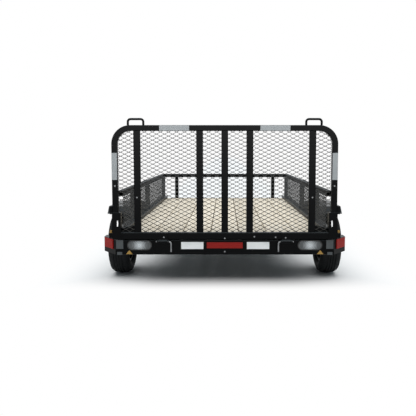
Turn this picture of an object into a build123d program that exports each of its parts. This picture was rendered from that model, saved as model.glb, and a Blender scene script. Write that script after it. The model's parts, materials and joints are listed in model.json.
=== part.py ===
"""Single-axle utility trailer with mesh side walls and a drop-down ramp gate, in millimetres.

+X is the right-hand side seen from behind, +Y points forward to the coupler and +Z is up.
Pieces are drawn with y = 0 at the rear face of the rear beam and z = 0 on the ground,
and are moved as they are written so that the origin is under the middle of the trailer.
"""
from build123d import *
import math
import os

# Bed
BED_LENGTH = 2440.0
DECK_TOP = 502.0
PLANK_COUNT = 7
PLANK_WIDTH = 184.0
PLANK_THICK = 38.0
PLANK_GAP = 7.0
DECK_SIDE_GAP = 2.0
TUBE = 38.0
TUBE_WALL = 3.0
RAIL_HEIGHT = 130.0
RAIL_WIDTH = 64.0
RAIL_LIP = 28.0
TUBE_ROUND = 4.0
CROSSMEMBER_COUNT = 8
CROSSMEMBER_HEIGHT = 64.0

# Walls
WALL_TOP = 783.0
WALL_REAR_Y = 60.0
WALL_POST_Y = (519.0, 1240.0)
FRONT_POST_X = 557.0
MESH_STRAND = 3.0
MESH_LAYER = 1.4
MESH_LAYER_GAP = 0.3
MESH_LONG_PITCH = 53.6
MESH_SHORT_PITCH = 26.7
MESH_RIM = 8.0

# Rear beam and lamps
BEAM_DEPTH = 40.0
BEAM_TOP = 456.0
BEAM_HEIGHT = 101.0
BEAM_ROUND = 6.0
BEAM_WALL = 5.0
PANEL_INNER_X = 473.0
PANEL_THICK = 3.0
OVAL_X = 573.0
OVAL_Z = 421.0
OVAL_LENGTH = 154.0
OVAL_HEIGHT = 56.0
OVAL_PROUD = 8.0
GROMMET_WIDTH = 6.0
GROMMET_PROUD = 4.0
LAMP_BODY_DEPTH = 30.0
LIGHT_BAR_LENGTH = 242.0
LIGHT_BAR_HEIGHT = 40.0
LIGHT_BAR_DEPTH = 14.0
END_CAP_WIDTH = 48.0
END_CAP_HEIGHT = 60.0
END_CAP_THICK = 4.0
END_TAB_WIDTH = 34.0
END_TAB_HEIGHT = 19.0
END_TAB_INSET = 6.0
CORNER_OUT = 111.0
CORNER_SLANT = 134.0
CORNER_LENGTH = 200.0
CORNER_HEIGHT = 102.0
CORNER_PLATE = 5.0
CORNER_FLANGE = 30.0
LENS_INSET = 38.0
LENS_LENGTH = 120.0
LENS_HEIGHT = 64.0
LENS_PROUD = 8.0
MARKER_ALONG = 105.0
MARKER_BASE = 22.0
MARKER_BASE_HEIGHT = 32.0
MARKER_WIDTH = 14.0
MARKER_HEIGHT = 20.0

# Ramp gate
GATE_HALF = 750.0
GATE_TOP = 1223.0
GATE_REAR_Y = -14.0
GATE_BOTTOM_GAP = 6.0
GATE_BEND = 125.0
GATE_RAIL_HEIGHT = 46.0
UPRIGHT_WIDTH = 45.0
UPRIGHT_DEPTH = 25.0
UPRIGHT_X = (-584.0, -167.0, 0.0, 167.0, 584.0)
MESH_CORNER = 62.0
SLEEVE_TOP = 632.0
SLEEVE_IN = 18.0
SLEEVE_SKIN = 3.0
SLEEVE_FIT = 0.2
SLEEVE_SLOT_WIDTH = 10.0
SLEEVE_SLOT_HEIGHT = 42.0
SLEEVE_SLOT_Z = 569.0
SLEEVE_SLOT_INSET = 5.0
COLLAR_THICK = 11.0
COLLAR_OUT = 15.0
LATCH_WIDTH = 20.0
LATCH_HEIGHT = 44.0
HANDLE_X = 590.0
HANDLE_SPAN = 102.0
HANDLE_RISE = 40.0
HANDLE_ROD = 15.0
HANDLE_BEND = 18.0
HINGE_X = 413.0
HINGE_DROP = 14.0
HINGE_BACK = 8.0
BARREL_LENGTH = 62.0
BARREL_RADIUS = 12.7
PIN_RADIUS = 5.5
PIN_FIT = 0.1
HINGE_TAB_THICK = 6.0
EAR_THICK = 8.0
EAR_RADIUS = 11.0
EAR_GAP = 2.0
PIN_DROP = 68.0
PIN_BEND = 13.0

# Axle, springs and wheels
AXLE_Y = 955.0
TYRE_DIAMETER = 530.0
TYRE_SECTION = 170.0
TREAD_WIDTH = 134.0
SIDEWALL_STEPS = 4
SHOULDER_DROP = 10.0
SHOULDER_RUN = 8.0
WHEEL_X = 880.0
RIM_DIAMETER = 305.0
RIM_WIDTH = 124.0
RIM_WALL = 5.0
RIM_FLANGE = 12.0
WHEEL_OFFSET = 12.0
DISC_THICK = 5.0
WINDOW_COUNT = 8
WINDOW_RADIUS = 17.0
WINDOW_CIRCLE = 114.0
CROWN_RADIUS = 88.0
LUG_COUNT = 5
LUG_CIRCLE = 57.15
LUG_RADIUS = 10.5
LUG_LENGTH = 20.0
HUB_RADIUS = 36.0
HUB_FLANGE_RADIUS = 72.0
HUB_FLANGE_THICK = 9.0
HUB_INBOARD = 68.0
HUB_OUTBOARD = 26.0
CAP_LENGTH = 24.0
CAP_RADIUS = 27.0
CAP_CHAMFER = 5.0
SPINDLE_RADIUS = 19.0
SPINDLE_FIT = 0.08
AXLE_RADIUS = 30.0
HUB_AXLE_GAP = 5.0
SEAT_FIT = 0.3
SPRING_SPAN = 660.0
SPRING_RISE = 40.0
LEAF_WIDTH = 45.0
LEAF_THICK = 8.0
LEAF_GAP = 0.4
LEAF_SHARES = (1.0, 0.72, 0.46)
SADDLE_HEIGHT = 8.0
EYE_RADIUS = 15.0
EYE_PIN_RADIUS = 8.0
HANGER_THICK = 6.0
CLAMP_HALF = 42.0
CLAMP_PLATE = 8.0
CLAMP_BOLT_RADIUS = 5.0
CLAMP_BOLT_TAIL = 10.0

# Fenders
FENDER_OVERHANG = -17.0
FENDER_TOP = 600.0
FENDER_SKIRT = 55.0
FENDER_FLAT = 450.0
FENDER_SHEET = 3.0
FENDER_PLATE_LOW = 440.0

# Tongue, coupler and jack
TONGUE_LENGTH = 960.0
TONGUE_UNDER_BED = 290.0
TONGUE_ANGLE = 25.0
TONGUE_WIDTH = 51.0
TONGUE_HEIGHT = 76.0
TONGUE_TIP_GAP = 12.0
COUPLER_REACH = 130.0
COUPLER_SHOULDER = 190.0
COUPLER_PLATE = 10.0
COUPLER_ARM_WIDTH = 62.0
COUPLER_ARM_HEIGHT = 40.0
SOCKET_RADIUS = 25.7
SOCKET_WALL = 13.0
SOCKET_DEPTH = 40.0
SOCKET_DROP = 20.0
SOCKET_CROWN = 28.0
JACK_BACK = 300.0
JACK_TUBE_RADIUS = 28.5
JACK_BORE_RADIUS = 24.0
JACK_FIT = 0.3
JACK_LEG_WALL = 4.0
JACK_TUBE_BOTTOM = 290.0
JACK_TUBE_TOP = 690.0
JACK_LEG_TOP = 430.0
JACK_FOOT = 130.0
JACK_FOOT_THICK = 8.0
JACK_PLATE_LENGTH = 130.0
JACK_PLATE_THICK = 8.0
JACK_PLATE_LAP = 30.0
JACK_FLANGE_RADIUS = 46.0
JACK_HEAD_RADIUS = 34.0
JACK_HEAD_HEIGHT = 32.0
CRANK_ROD = 12.0
CRANK_STEM = 26.0
CRANK_ARM = 120.0
CRANK_GRIP = 90.0

# Levels and places worked out from the sizes above
RAIL_TOP = DECK_TOP + RAIL_LIP
RAIL_BOTTOM = RAIL_TOP - RAIL_HEIGHT
DECK_UNDER = DECK_TOP - PLANK_THICK
DECK_HALF = (PLANK_COUNT * PLANK_WIDTH + (PLANK_COUNT - 1) * PLANK_GAP) / 2
RAIL_IN = DECK_HALF + DECK_SIDE_GAP
RAIL_OUT = RAIL_IN + RAIL_WIDTH
RAIL_MID = RAIL_IN + RAIL_WIDTH / 2
WALL_IN = RAIL_OUT - TUBE
BEAM_HALF = RAIL_OUT
FRONT_RAIL_Y = BED_LENGTH - TUBE
BEAM_BOTTOM = BEAM_TOP - BEAM_HEIGHT
CORNER_BOTTOM = BEAM_TOP - CORNER_HEIGHT
GATE_BOTTOM = BEAM_TOP + GATE_BOTTOM_GAP
GATE_FRONT_Y = GATE_REAR_Y + TUBE
LEG_IN = GATE_HALF - TUBE
HINGE_Y = GATE_REAR_Y - HINGE_BACK
HINGE_Z = GATE_BOTTOM - HINGE_DROP
AXLE_Z = TYRE_DIAMETER / 2
FENDER_OUT = WHEEL_X + TYRE_SECTION / 2 + FENDER_OVERHANG
TONGUE_TOP = RAIL_BOTTOM
TONGUE_TIP_Y = BED_LENGTH + TONGUE_LENGTH
TONGUE_SLOPE = math.tan(math.radians(TONGUE_ANGLE))
TONGUE_HALF_CUT = TONGUE_WIDTH / 2 / math.cos(math.radians(TONGUE_ANGLE))
TONGUE_TIP_X = TONGUE_TIP_GAP / 2 + TONGUE_HALF_CUT
BALL_Y = TONGUE_TIP_Y + COUPLER_REACH
SOCKET_OUT = SOCKET_RADIUS + SOCKET_WALL
JACK_Y = TONGUE_TIP_Y - JACK_BACK
REAR_END = HINGE_Y - BARREL_RADIUS
FRONT_END = BALL_Y + SOCKET_OUT
TO_ORIGIN = Pos(0, -(REAR_END + FRONT_END) / 2, 0)
SIDES = (("left", -1), ("right", 1))


def block(x_range, y_range, z_range):
    """A box between two coordinates on each axis, given in either order."""
    spans = [sorted(pair) for pair in (x_range, y_range, z_range)]
    sizes = [high - low for low, high in spans]
    middle = [(low + high) / 2 for low, high in spans]
    return Pos(*middle) * Box(*sizes)


def hollow(x_range, y_range, z_range, along, wall=TUBE_WALL):
    """A rectangular tube with rounded corners, open at both ends of the axis it runs along."""
    ranges = {"x": sorted(x_range), "y": sorted(y_range), "z": sorted(z_range)}
    inner = {}
    for axis, (low, high) in ranges.items():
        inner[axis] = (low, high) if axis == along else (low + wall, high - wall)
    outside = block(x_range, y_range, z_range)
    long_edges = outside.edges().filter_by({"x": Axis.X, "y": Axis.Y, "z": Axis.Z}[along])
    return fillet(long_edges, TUBE_ROUND) - block(inner["x"], inner["y"], inner["z"])


def rod(start, end, radius):
    """A round bar between two points on a line parallel to an axis."""
    start = Vector(*start)
    end = Vector(*end)
    plane = Plane(origin=start, z_dir=end - start)
    return extrude(plane * Circle(radius), amount=(end - start).length)


def spun(points, x, y, z):
    """A ring turned about a line along X through the given place, from (along X, radius) points."""
    return Pos(x, y, z) * revolve(make_face(Polyline(*points, close=True)), Axis.X)


def write(node, *solids):
    """Move the solids of one node to the trailer's own origin and save them."""
    moved = [TO_ORIGIN * solid for solid in solids]
    shape = moved[0] if len(moved) == 1 else Compound(children=moved)
    export_step(shape, f"parts/{node}.step")


# Expanded-metal panels
def clip(polygon, normal, limit):
    """The part of a convex polygon where the point times the normal is at most the limit."""
    kept = []
    for here, after in zip(polygon, polygon[1:] + polygon[:1]):
        d_here = here[0] * normal[0] + here[1] * normal[1] - limit
        d_after = after[0] * normal[0] + after[1] * normal[1] - limit
        if d_here <= 0:
            kept.append(here)
        if d_here * d_after < 0:
            share = d_here / (d_here - d_after)
            kept.append(tuple(a + share * (b - a) for a, b in zip(here, after)))
    return kept


def outline_of(half, low, high, corner):
    """A panel outline about x = 0 whose two upper corners are cut off."""
    shape = [(-half, low), (half, low), (half, high - corner)]
    if corner:
        shape += [(half - corner, high), (corner - half, high)]
    shape.append((-half, high - corner))
    return shape


def area_of(polygon):
    """The area inside a polygon."""
    pairs = zip(polygon, polygon[1:] + polygon[:1])
    return abs(sum(a[0] * b[1] - b[0] * a[1] for a, b in pairs)) / 2


def strand_layer(half, low, high, corner, lean):
    """One layer of slanting strands, all leaning the same way and held by the panel's rim."""
    angle = math.atan2(MESH_SHORT_PITCH, MESH_LONG_PITCH)
    normal = (-lean * math.sin(angle), math.cos(angle))
    pitch = MESH_SHORT_PITCH * math.cos(angle)
    inside = outline_of(half - MESH_RIM, low + MESH_RIM, high - MESH_RIM, corner)
    reach = [x * normal[0] + z * normal[1] for x, z in inside]
    gaps = []
    for row in range(math.floor(min(reach) / pitch), math.ceil(max(reach) / pitch)):
        start = row * pitch + MESH_STRAND / 2
        end = (row + 1) * pitch - MESH_STRAND / 2
        gap = clip(clip(inside, normal, end), (-normal[0], -normal[1]), -start)
        if len(gap) > 2 and area_of(gap) > MESH_STRAND * pitch:
            gaps.append(Wire.make_polygon([(x, z, 0) for x, z in gap]))
    rim = Wire.make_polygon([(x, z, 0) for x, z in outline_of(half, low, high, corner)])
    return extrude(Face(rim, gaps), amount=MESH_LAYER)


def mesh_panel(plane, half, low, high, corner=0.0):
    """Two layers of crossing strands on a plane, the second just clear of the first."""
    step = MESH_LAYER + MESH_LAYER_GAP
    return [plane * Pos(0, 0, layer * step) * strand_layer(half, low, high, corner, lean)
            for layer, lean in enumerate((1, -1))]


MESH_THICK = 2 * MESH_LAYER + MESH_LAYER_GAP


# Bed frame and deck
def side_rail(side):
    x_range = (side * RAIL_IN, side * RAIL_OUT)
    return hollow(x_range, (BEAM_DEPTH, BED_LENGTH), (RAIL_BOTTOM, RAIL_TOP), "y")


def front_rail():
    return hollow((-RAIL_IN, RAIL_IN), (FRONT_RAIL_Y, BED_LENGTH), (RAIL_BOTTOM, DECK_TOP), "x")


def crossmembers():
    first = BEAM_DEPTH + TUBE
    step = (FRONT_RAIL_Y - first) / CROSSMEMBER_COUNT
    top = RAIL_BOTTOM + CROSSMEMBER_HEIGHT
    members = []
    for number in range(CROSSMEMBER_COUNT):
        y = first + number * step
        members.append(hollow((-RAIL_IN, RAIL_IN), (y, y + TUBE), (RAIL_BOTTOM, top), "x"))
    return members


def planks():
    rear = BEAM_DEPTH + DECK_SIDE_GAP
    front = FRONT_RAIL_Y - DECK_SIDE_GAP
    boards = []
    for number in range(PLANK_COUNT):
        left = -DECK_HALF + number * (PLANK_WIDTH + PLANK_GAP)
        boards.append(block((left, left + PLANK_WIDTH), (rear, front), (DECK_UNDER, DECK_TOP)))
    return boards


# Side and front walls
def wall_posts(side):
    x_range = (side * WALL_IN, side * RAIL_OUT)
    middles = WALL_POST_Y + (BED_LENGTH - TUBE / 2,)
    return [hollow(x_range, (y - TUBE / 2, y + TUBE / 2), (RAIL_TOP, WALL_TOP - TUBE), "z")
            for y in middles]


def wall_rail(side):
    x_range = (side * WALL_IN, side * RAIL_OUT)
    return hollow(x_range, (WALL_REAR_Y, BED_LENGTH), (WALL_TOP - TUBE, WALL_TOP), "y")


def wall_mesh(side):
    half = (FRONT_RAIL_Y - SEAT_FIT - WALL_REAR_Y) / 2
    middle = Vector(side * (WALL_IN - SEAT_FIT), WALL_REAR_Y + half, 0)
    plane = Plane(origin=middle, x_dir=(0, -side, 0), z_dir=(-side, 0, 0))
    return mesh_panel(plane, half, RAIL_TOP + SEAT_FIT, WALL_TOP - TUBE / 2)


def front_wall_rail():
    return hollow((-WALL_IN, WALL_IN), (FRONT_RAIL_Y, BED_LENGTH), (WALL_TOP - TUBE, WALL_TOP), "x")


def front_wall_posts():
    return [hollow((x - TUBE / 2, x + TUBE / 2), (FRONT_RAIL_Y, BED_LENGTH),
                   (DECK_TOP, WALL_TOP - TUBE), "z") for x in (-FRONT_POST_X, FRONT_POST_X)]


# Rear beam with its lamps
def on_rear_face(shape, x, z, start, end):
    """A flat shape standing in the rear face, run from one distance forward to another."""
    plane = Plane(origin=(x, start, z), x_dir=(1, 0, 0), z_dir=(0, 1, 0))
    return extrude(plane * shape, amount=end - start)


def oval(margin):
    height = OVAL_HEIGHT + 2 * margin
    return SlotOverall(OVAL_LENGTH + 2 * margin, height)


def lamp_holes(start, end):
    return [on_rear_face(oval(GROMMET_WIDTH / 2), x, OVAL_Z, start, end) for x in (-OVAL_X, OVAL_X)]


def rear_beam():
    channel = block((-BEAM_HALF, BEAM_HALF), (0, BEAM_DEPTH), (BEAM_BOTTOM, BEAM_TOP))
    channel = fillet(channel.faces().sort_by(Axis.Y)[0].edges().filter_by(Axis.X), BEAM_ROUND)
    channel -= block((-BEAM_HALF, BEAM_HALF), (BEAM_WALL, BEAM_DEPTH),
                     (BEAM_BOTTOM + BEAM_WALL, BEAM_TOP - BEAM_WALL))
    for hole in lamp_holes(0, BEAM_WALL):
        channel -= hole
    return channel


def lamp_panels():
    panels = []
    for (_, side), hole in zip(SIDES, lamp_holes(-PANEL_THICK, 0)):
        x_range = (side * PANEL_INNER_X, side * (BEAM_HALF - END_CAP_WIDTH))
        z_range = (BEAM_BOTTOM + BEAM_ROUND / 2, BEAM_TOP - BEAM_ROUND / 2)
        panels.append(block(x_range, (-PANEL_THICK, 0), z_range) - hole)
    return panels


def oval_lamps():
    face = -PANEL_THICK - OVAL_PROUD
    lamps = []
    for x in (-OVAL_X, OVAL_X):
        lens = on_rear_face(oval(0), x, OVAL_Z, face, LAMP_BODY_DEPTH)
        rim = lens.faces().sort_by(Axis.Y)[0].edges()
        lamps.append(chamfer(rim, OVAL_PROUD / 2))
    return lamps


def lamp_grommets():
    face = -PANEL_THICK - GROMMET_PROUD
    rings = []
    for x in (-OVAL_X, OVAL_X):
        lip = on_rear_face(oval(GROMMET_WIDTH), x, OVAL_Z, face, -PANEL_THICK)
        sleeve = on_rear_face(oval(GROMMET_WIDTH / 2 - SEAT_FIT / 2), x, OVAL_Z, -PANEL_THICK, BEAM_WALL)
        rings.append(lip + sleeve - on_rear_face(oval(SEAT_FIT / 2), x, OVAL_Z, face, BEAM_WALL))
    return rings


def light_bar():
    bar = block((-LIGHT_BAR_LENGTH / 2, LIGHT_BAR_LENGTH / 2), (-LIGHT_BAR_DEPTH, 0),
                (OVAL_Z - LIGHT_BAR_HEIGHT / 2, OVAL_Z + LIGHT_BAR_HEIGHT / 2))
    rear_edges = bar.faces().sort_by(Axis.Y)[0].edges()
    return chamfer(rear_edges, LIGHT_BAR_DEPTH / 4)


def rail_end_caps():
    """On each end of the beam, a square plate above and a small tab below it."""
    high = (BEAM_TOP - END_CAP_HEIGHT, BEAM_TOP)
    low = (BEAM_BOTTOM, BEAM_BOTTOM + END_TAB_HEIGHT)
    tab_out = BEAM_HALF - END_TAB_INSET
    caps = []
    for _, side in SIDES:
        caps.append(block((side * (BEAM_HALF - END_CAP_WIDTH), side * BEAM_HALF), (-END_CAP_THICK, 0), high))
        caps.append(block((side * (tab_out - END_TAB_WIDTH), side * tab_out), (-END_CAP_THICK, 0), low))
    return caps


def corner_strip(side, inset):
    """Plan of a strip that runs out and forward from the beam's end, then bends straight forward."""
    start = BEAM_HALF + SEAT_FIT
    slope = CORNER_SLANT / CORNER_OUT
    bent = start + CORNER_OUT
    shift = inset * math.hypot(1, slope)
    inner_bend = (bent - inset, shift + (CORNER_OUT - inset) * slope)
    plan = [(start, 0), (bent, CORNER_SLANT), (bent, CORNER_LENGTH), (bent - inset, CORNER_LENGTH),
            inner_bend, (start, shift)]
    return [(side * x, y) for x, y in plan]


def corner_place(side, along, inset):
    """A place on the bracket's plan, by its distance along the slanted face and in from it."""
    length = math.hypot(CORNER_OUT, CORNER_SLANT)
    x = BEAM_HALF + SEAT_FIT + (along * CORNER_OUT - inset * CORNER_SLANT) / length
    y = (along * CORNER_SLANT + inset * CORNER_OUT) / length
    return side * x, y


def corner_bracket(side):
    """Bent plate beside the beam's end, with a folded top edge and a raised seat for the marker lamp."""
    face = extrude(make_face(Polyline(*corner_strip(side, CORNER_PLATE), close=True)), amount=CORNER_HEIGHT)
    flange = extrude(make_face(Polyline(*corner_strip(side, CORNER_FLANGE), close=True)), amount=CORNER_PLATE)
    bracket = face + Pos(0, 0, CORNER_HEIGHT - CORNER_PLATE) * flange
    root = BEAM_HALF + SEAT_FIT
    bracket += block((side * root, side * (root + CORNER_PLATE)), (0, BEAM_DEPTH), (0, CORNER_HEIGHT))
    x, y = corner_place(side, MARKER_ALONG, CORNER_FLANGE / 2)
    half = MARKER_BASE / 2
    bracket += block((x - half, x + half), (y - half, y + half),
                     (CORNER_HEIGHT, CORNER_HEIGHT + MARKER_BASE_HEIGHT))
    return Pos(0, 0, CORNER_BOTTOM) * bracket


def corner_lens(side):
    x, y = corner_place(side, LENS_INSET + LENS_LENGTH / 2, 0)
    along = Vector(side * CORNER_OUT, CORNER_SLANT, 0).normalized()
    outward = Vector(side * CORNER_SLANT, -CORNER_OUT, 0).normalized()
    origin = Vector(x, y, OVAL_Z)
    plane = Plane(origin=origin, x_dir=along, z_dir=outward)
    lens = extrude(plane * Rectangle(LENS_LENGTH, LENS_HEIGHT), amount=LENS_PROUD)
    front = lens.faces().sort_by(Axis(origin=origin, direction=outward))[-1].edges()
    return chamfer(front, LENS_PROUD / 4)


def amber_marker(side):
    x, y = corner_place(side, MARKER_ALONG, CORNER_FLANGE / 2)
    half = MARKER_WIDTH / 2
    seat = CORNER_BOTTOM + CORNER_HEIGHT + MARKER_BASE_HEIGHT
    lens = block((x - half, x + half), (y - half, y + half), (seat, seat + MARKER_HEIGHT))
    return chamfer(lens.faces().sort_by(Axis.Z)[-1].edges(), MARKER_HEIGHT / 5)


# Ramp gate
def gate_frame():
    level = GATE_TOP - TUBE / 2
    centre = GATE_HALF - TUBE / 2
    path = FilletPolyline((-centre, 0, GATE_BOTTOM), (-centre, 0, level), (centre, 0, level),
                          (centre, 0, GATE_BOTTOM), radius=GATE_BEND - TUBE / 2)
    start = Plane(origin=(-centre, 0, GATE_BOTTOM), x_dir=(1, 0, 0), z_dir=(0, 0, 1))
    bore = TUBE - 2 * TUBE_WALL
    section = RectangleRounded(TUBE, TUBE, TUBE_ROUND) - Rectangle(bore, bore)
    return Pos(0, GATE_REAR_Y + TUBE / 2, 0) * sweep(start * section, path=path)


def gate_rail():
    half = LEG_IN - SLEEVE_IN
    z_range = (GATE_BOTTOM, GATE_BOTTOM + GATE_RAIL_HEIGHT)
    return hollow((-half, half), (GATE_REAR_Y, GATE_FRONT_Y), z_range, "x")


def gate_uprights():
    z_range = (GATE_BOTTOM + GATE_RAIL_HEIGHT, GATE_TOP - TUBE)
    y_range = (GATE_FRONT_Y - UPRIGHT_DEPTH, GATE_FRONT_Y)
    return [hollow((x - UPRIGHT_WIDTH / 2, x + UPRIGHT_WIDTH / 2), y_range, z_range, "z")
            for x in UPRIGHT_X]


def gate_mesh():
    plane = Plane(origin=(0, GATE_FRONT_Y + SEAT_FIT, 0), x_dir=(-1, 0, 0), z_dir=(0, 1, 0))
    half = GATE_HALF - TUBE / 2
    low = GATE_BOTTOM + GATE_RAIL_HEIGHT / 2
    return mesh_panel(plane, half, low, GATE_TOP - TUBE / 2, MESH_CORNER)


def gate_sleeve(side):
    """A socket round the foot of one leg, slotted beside the leg, with a collar round its top."""
    y_range = (GATE_REAR_Y - SLEEVE_SKIN, GATE_FRONT_Y)
    inner = side * (LEG_IN - SLEEVE_IN)
    outer = GATE_HALF + SLEEVE_SKIN
    top = SLEEVE_TOP + COLLAR_THICK
    sleeve = block((inner, side * outer), y_range, (GATE_BOTTOM, SLEEVE_TOP))
    sleeve += block((inner, side * (outer + COLLAR_OUT)), y_range, (SLEEVE_TOP, top))
    sleeve -= block((side * (LEG_IN - SLEEVE_FIT), side * (GATE_HALF + SLEEVE_FIT)),
                    (GATE_REAR_Y - SLEEVE_FIT, GATE_FRONT_Y), (GATE_BOTTOM, top))
    slot_x = side * (LEG_IN + SLEEVE_SLOT_INSET)
    slot = SlotOverall(SLEEVE_SLOT_HEIGHT, SLEEVE_SLOT_WIDTH, rotation=90)
    return sleeve - on_rear_face(slot, slot_x, SLEEVE_SLOT_Z, *y_range)


def gate_latch(side):
    start = GATE_HALF
    base = SLEEVE_TOP + COLLAR_THICK
    housing = block((side * start, side * (start + LATCH_WIDTH)),
                    (GATE_REAR_Y, GATE_FRONT_Y), (base, base + LATCH_HEIGHT))
    outer = housing.faces().sort_by(Axis.X)[0 if side < 0 else -1]
    return chamfer(outer.edges().filter_by(Axis.Y), LATCH_WIDTH / 8)


def gate_handle(side):
    y = GATE_REAR_Y + TUBE / 2
    low = side * HANDLE_X - HANDLE_SPAN / 2
    high = side * HANDLE_X + HANDLE_SPAN / 2
    top = GATE_TOP + HANDLE_RISE
    path = FilletPolyline((low, y, GATE_TOP), (low, y, top), (high, y, top), (high, y, GATE_TOP),
                          radius=HANDLE_BEND)
    start = Plane(origin=(low, y, GATE_TOP), z_dir=(0, 0, 1))
    return sweep(start * Circle(HANDLE_ROD / 2), path=path)


def hinge_leaf(side):
    """A barrel on the hinge line, with the tab that reaches up the rear face of the bottom rail."""
    x = side * HINGE_X
    half = BARREL_LENGTH / 2
    tab_y = (GATE_REAR_Y - HINGE_TAB_THICK, GATE_REAR_Y)
    tab = block((x - half, x + half), tab_y, (HINGE_Z, GATE_BOTTOM + GATE_RAIL_HEIGHT))
    barrel = rod((x - half, HINGE_Y, HINGE_Z), (x + half, HINGE_Y, HINGE_Z), BARREL_RADIUS)
    bore = rod((x - half, HINGE_Y, HINGE_Z), (x + half, HINGE_Y, HINGE_Z), PIN_RADIUS + PIN_FIT)
    return barrel + tab - bore


def hinge_ears(side):
    """The two plates on the beam that carry one hinge pin, one at each end of the barrel."""
    ears = []
    for end in (-1, 1):
        near = side * HINGE_X + end * (BARREL_LENGTH / 2 + EAR_GAP)
        far = near + end * EAR_THICK
        nose = rod((near, HINGE_Y, HINGE_Z), (far, HINGE_Y, HINGE_Z), EAR_RADIUS)
        root = block((near, far), (HINGE_Y, 0), (HINGE_Z - EAR_RADIUS, BEAM_TOP))
        hole = rod((near, HINGE_Y, HINGE_Z), (far, HINGE_Y, HINGE_Z), PIN_RADIUS + PIN_FIT / 2)
        ears.append(nose + root - hole)
    return ears


def hinge_pin(side):
    """A bent pin: it runs along the hinge line and hangs down at its inner end."""
    reach = BARREL_LENGTH / 2 + EAR_GAP + EAR_THICK
    inner = side * (HINGE_X - reach - PIN_BEND)
    outer = side * (HINGE_X + reach + PIN_RADIUS)
    path = FilletPolyline((outer, HINGE_Y, HINGE_Z), (inner, HINGE_Y, HINGE_Z),
                          (inner, HINGE_Y, HINGE_Z - PIN_DROP), radius=PIN_BEND)
    start = Plane(origin=(outer, HINGE_Y, HINGE_Z), z_dir=(-side, 0, 0))
    return sweep(start * Circle(PIN_RADIUS), path=path)


# Axle and springs
PACK_HEIGHT = len(LEAF_SHARES) * LEAF_THICK + (len(LEAF_SHARES) - 1) * LEAF_GAP
PACK_BOTTOM = AXLE_Z + AXLE_RADIUS + SADDLE_HEIGHT
LEAF_INNER_RADIUS = ((SPRING_SPAN / 2) ** 2 + SPRING_RISE ** 2) / (2 * SPRING_RISE)
LEAF_CENTRE_Z = PACK_BOTTOM + PACK_HEIGHT + LEAF_INNER_RADIUS
SPRING_HALF_ANGLE = math.degrees(math.asin(SPRING_SPAN / 2 / LEAF_INNER_RADIUS))


def spring_point(radius, angle):
    """A point on an arc about the leaves' common centre, by its angle forward of straight down."""
    turn = math.radians(angle)
    return (AXLE_Y + radius * math.sin(turn), LEAF_CENTRE_Z - radius * math.cos(turn))


EYE_PLACES = [spring_point(LEAF_INNER_RADIUS - EYE_RADIUS + LEAF_THICK, end * SPRING_HALF_ANGLE)
              for end in (-1, 1)]


def leaf(level, share):
    upper = LEAF_INNER_RADIUS + level * (LEAF_THICK + LEAF_GAP)
    lower = upper + LEAF_THICK
    angle = SPRING_HALF_ANGLE * share
    top = [spring_point(upper, part * angle) for part in (-1, 0, 1)]
    under = [spring_point(lower, part * angle) for part in (1, 0, -1)]
    edge = [ThreePointArc(*top), Line(top[2], under[0]), ThreePointArc(*under), Line(under[2], top[0])]
    plane = Plane(origin=(-LEAF_WIDTH / 2, 0, 0), x_dir=(0, 1, 0), z_dir=(1, 0, 0))
    return extrude(plane * make_face(edge), amount=LEAF_WIDTH)


def leaf_spring(side):
    leaves = [leaf(level, share) for level, share in enumerate(LEAF_SHARES)]
    half = LEAF_WIDTH / 2
    for y, z in EYE_PLACES:
        leaves[0] += rod((-half, y, z), (half, y, z), EYE_RADIUS)
    for y, z in EYE_PLACES:
        leaves[0] -= rod((-half, y, z), (half, y, z), EYE_PIN_RADIUS + SEAT_FIT)
    return [Pos(side * RAIL_MID, 0, 0) * piece for piece in leaves]


def spring_hangers(side):
    """A pair of plates below the rail at each spring eye, with the eye's pin between them."""
    near = LEAF_WIDTH / 2 + 2 * SEAT_FIT
    far = near + HANGER_THICK
    hangers = []
    for y, z in EYE_PLACES:
        hanger = rod((-far, y, z), (far, y, z), EYE_PIN_RADIUS)
        for end in (-1, 1):
            hanger += block((end * near, end * far), (y - EYE_RADIUS, y + EYE_RADIUS),
                            (z - EYE_RADIUS, RAIL_BOTTOM))
        hangers.append(Pos(side * RAIL_MID, 0, 0) * hanger)
    return hangers


def axle_clamp(side):
    """Plates above the spring and below the axle, drawn together by four bolts."""
    leaf_rise = CLAMP_HALF ** 2 / (2 * LEAF_INNER_RADIUS)
    seat = PACK_BOTTOM + PACK_HEIGHT + leaf_rise + SEAT_FIT
    low = AXLE_Z - AXLE_RADIUS - SEAT_FIT
    square = (-CLAMP_HALF, CLAMP_HALF)
    clamp = block(square, square, (seat, seat + CLAMP_PLATE))
    clamp += block(square, square, (low - CLAMP_PLATE, low))
    inset = CLAMP_HALF - CLAMP_BOLT_RADIUS - SEAT_FIT
    for x in (-inset, inset):
        for y in (-inset, inset):
            clamp += rod((x, y, low - CLAMP_PLATE - CLAMP_BOLT_TAIL),
                         (x, y, seat + CLAMP_PLATE + CLAMP_BOLT_TAIL), CLAMP_BOLT_RADIUS)
    return Pos(side * RAIL_MID, AXLE_Y, 0) * clamp


HUB_IN_X = WHEEL_X + WHEEL_OFFSET - HUB_INBOARD
HUB_OUT_X = WHEEL_X + WHEEL_OFFSET + HUB_OUTBOARD
AXLE_END_X = HUB_IN_X - HUB_AXLE_GAP


def axle():
    """The axle tube with a spindle at each end and a saddle under each spring."""
    beam = rod((-AXLE_END_X, AXLE_Y, AXLE_Z), (AXLE_END_X, AXLE_Y, AXLE_Z), AXLE_RADIUS)
    beam += rod((-HUB_OUT_X, AXLE_Y, AXLE_Z), (HUB_OUT_X, AXLE_Y, AXLE_Z), SPINDLE_RADIUS)
    half = LEAF_WIDTH / 2
    for _, side in SIDES:
        middle = side * RAIL_MID
        beam += block((middle - half, middle + half), (AXLE_Y - half, AXLE_Y + half),
                      (AXLE_Z, PACK_BOTTOM - SEAT_FIT))
    return beam


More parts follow.
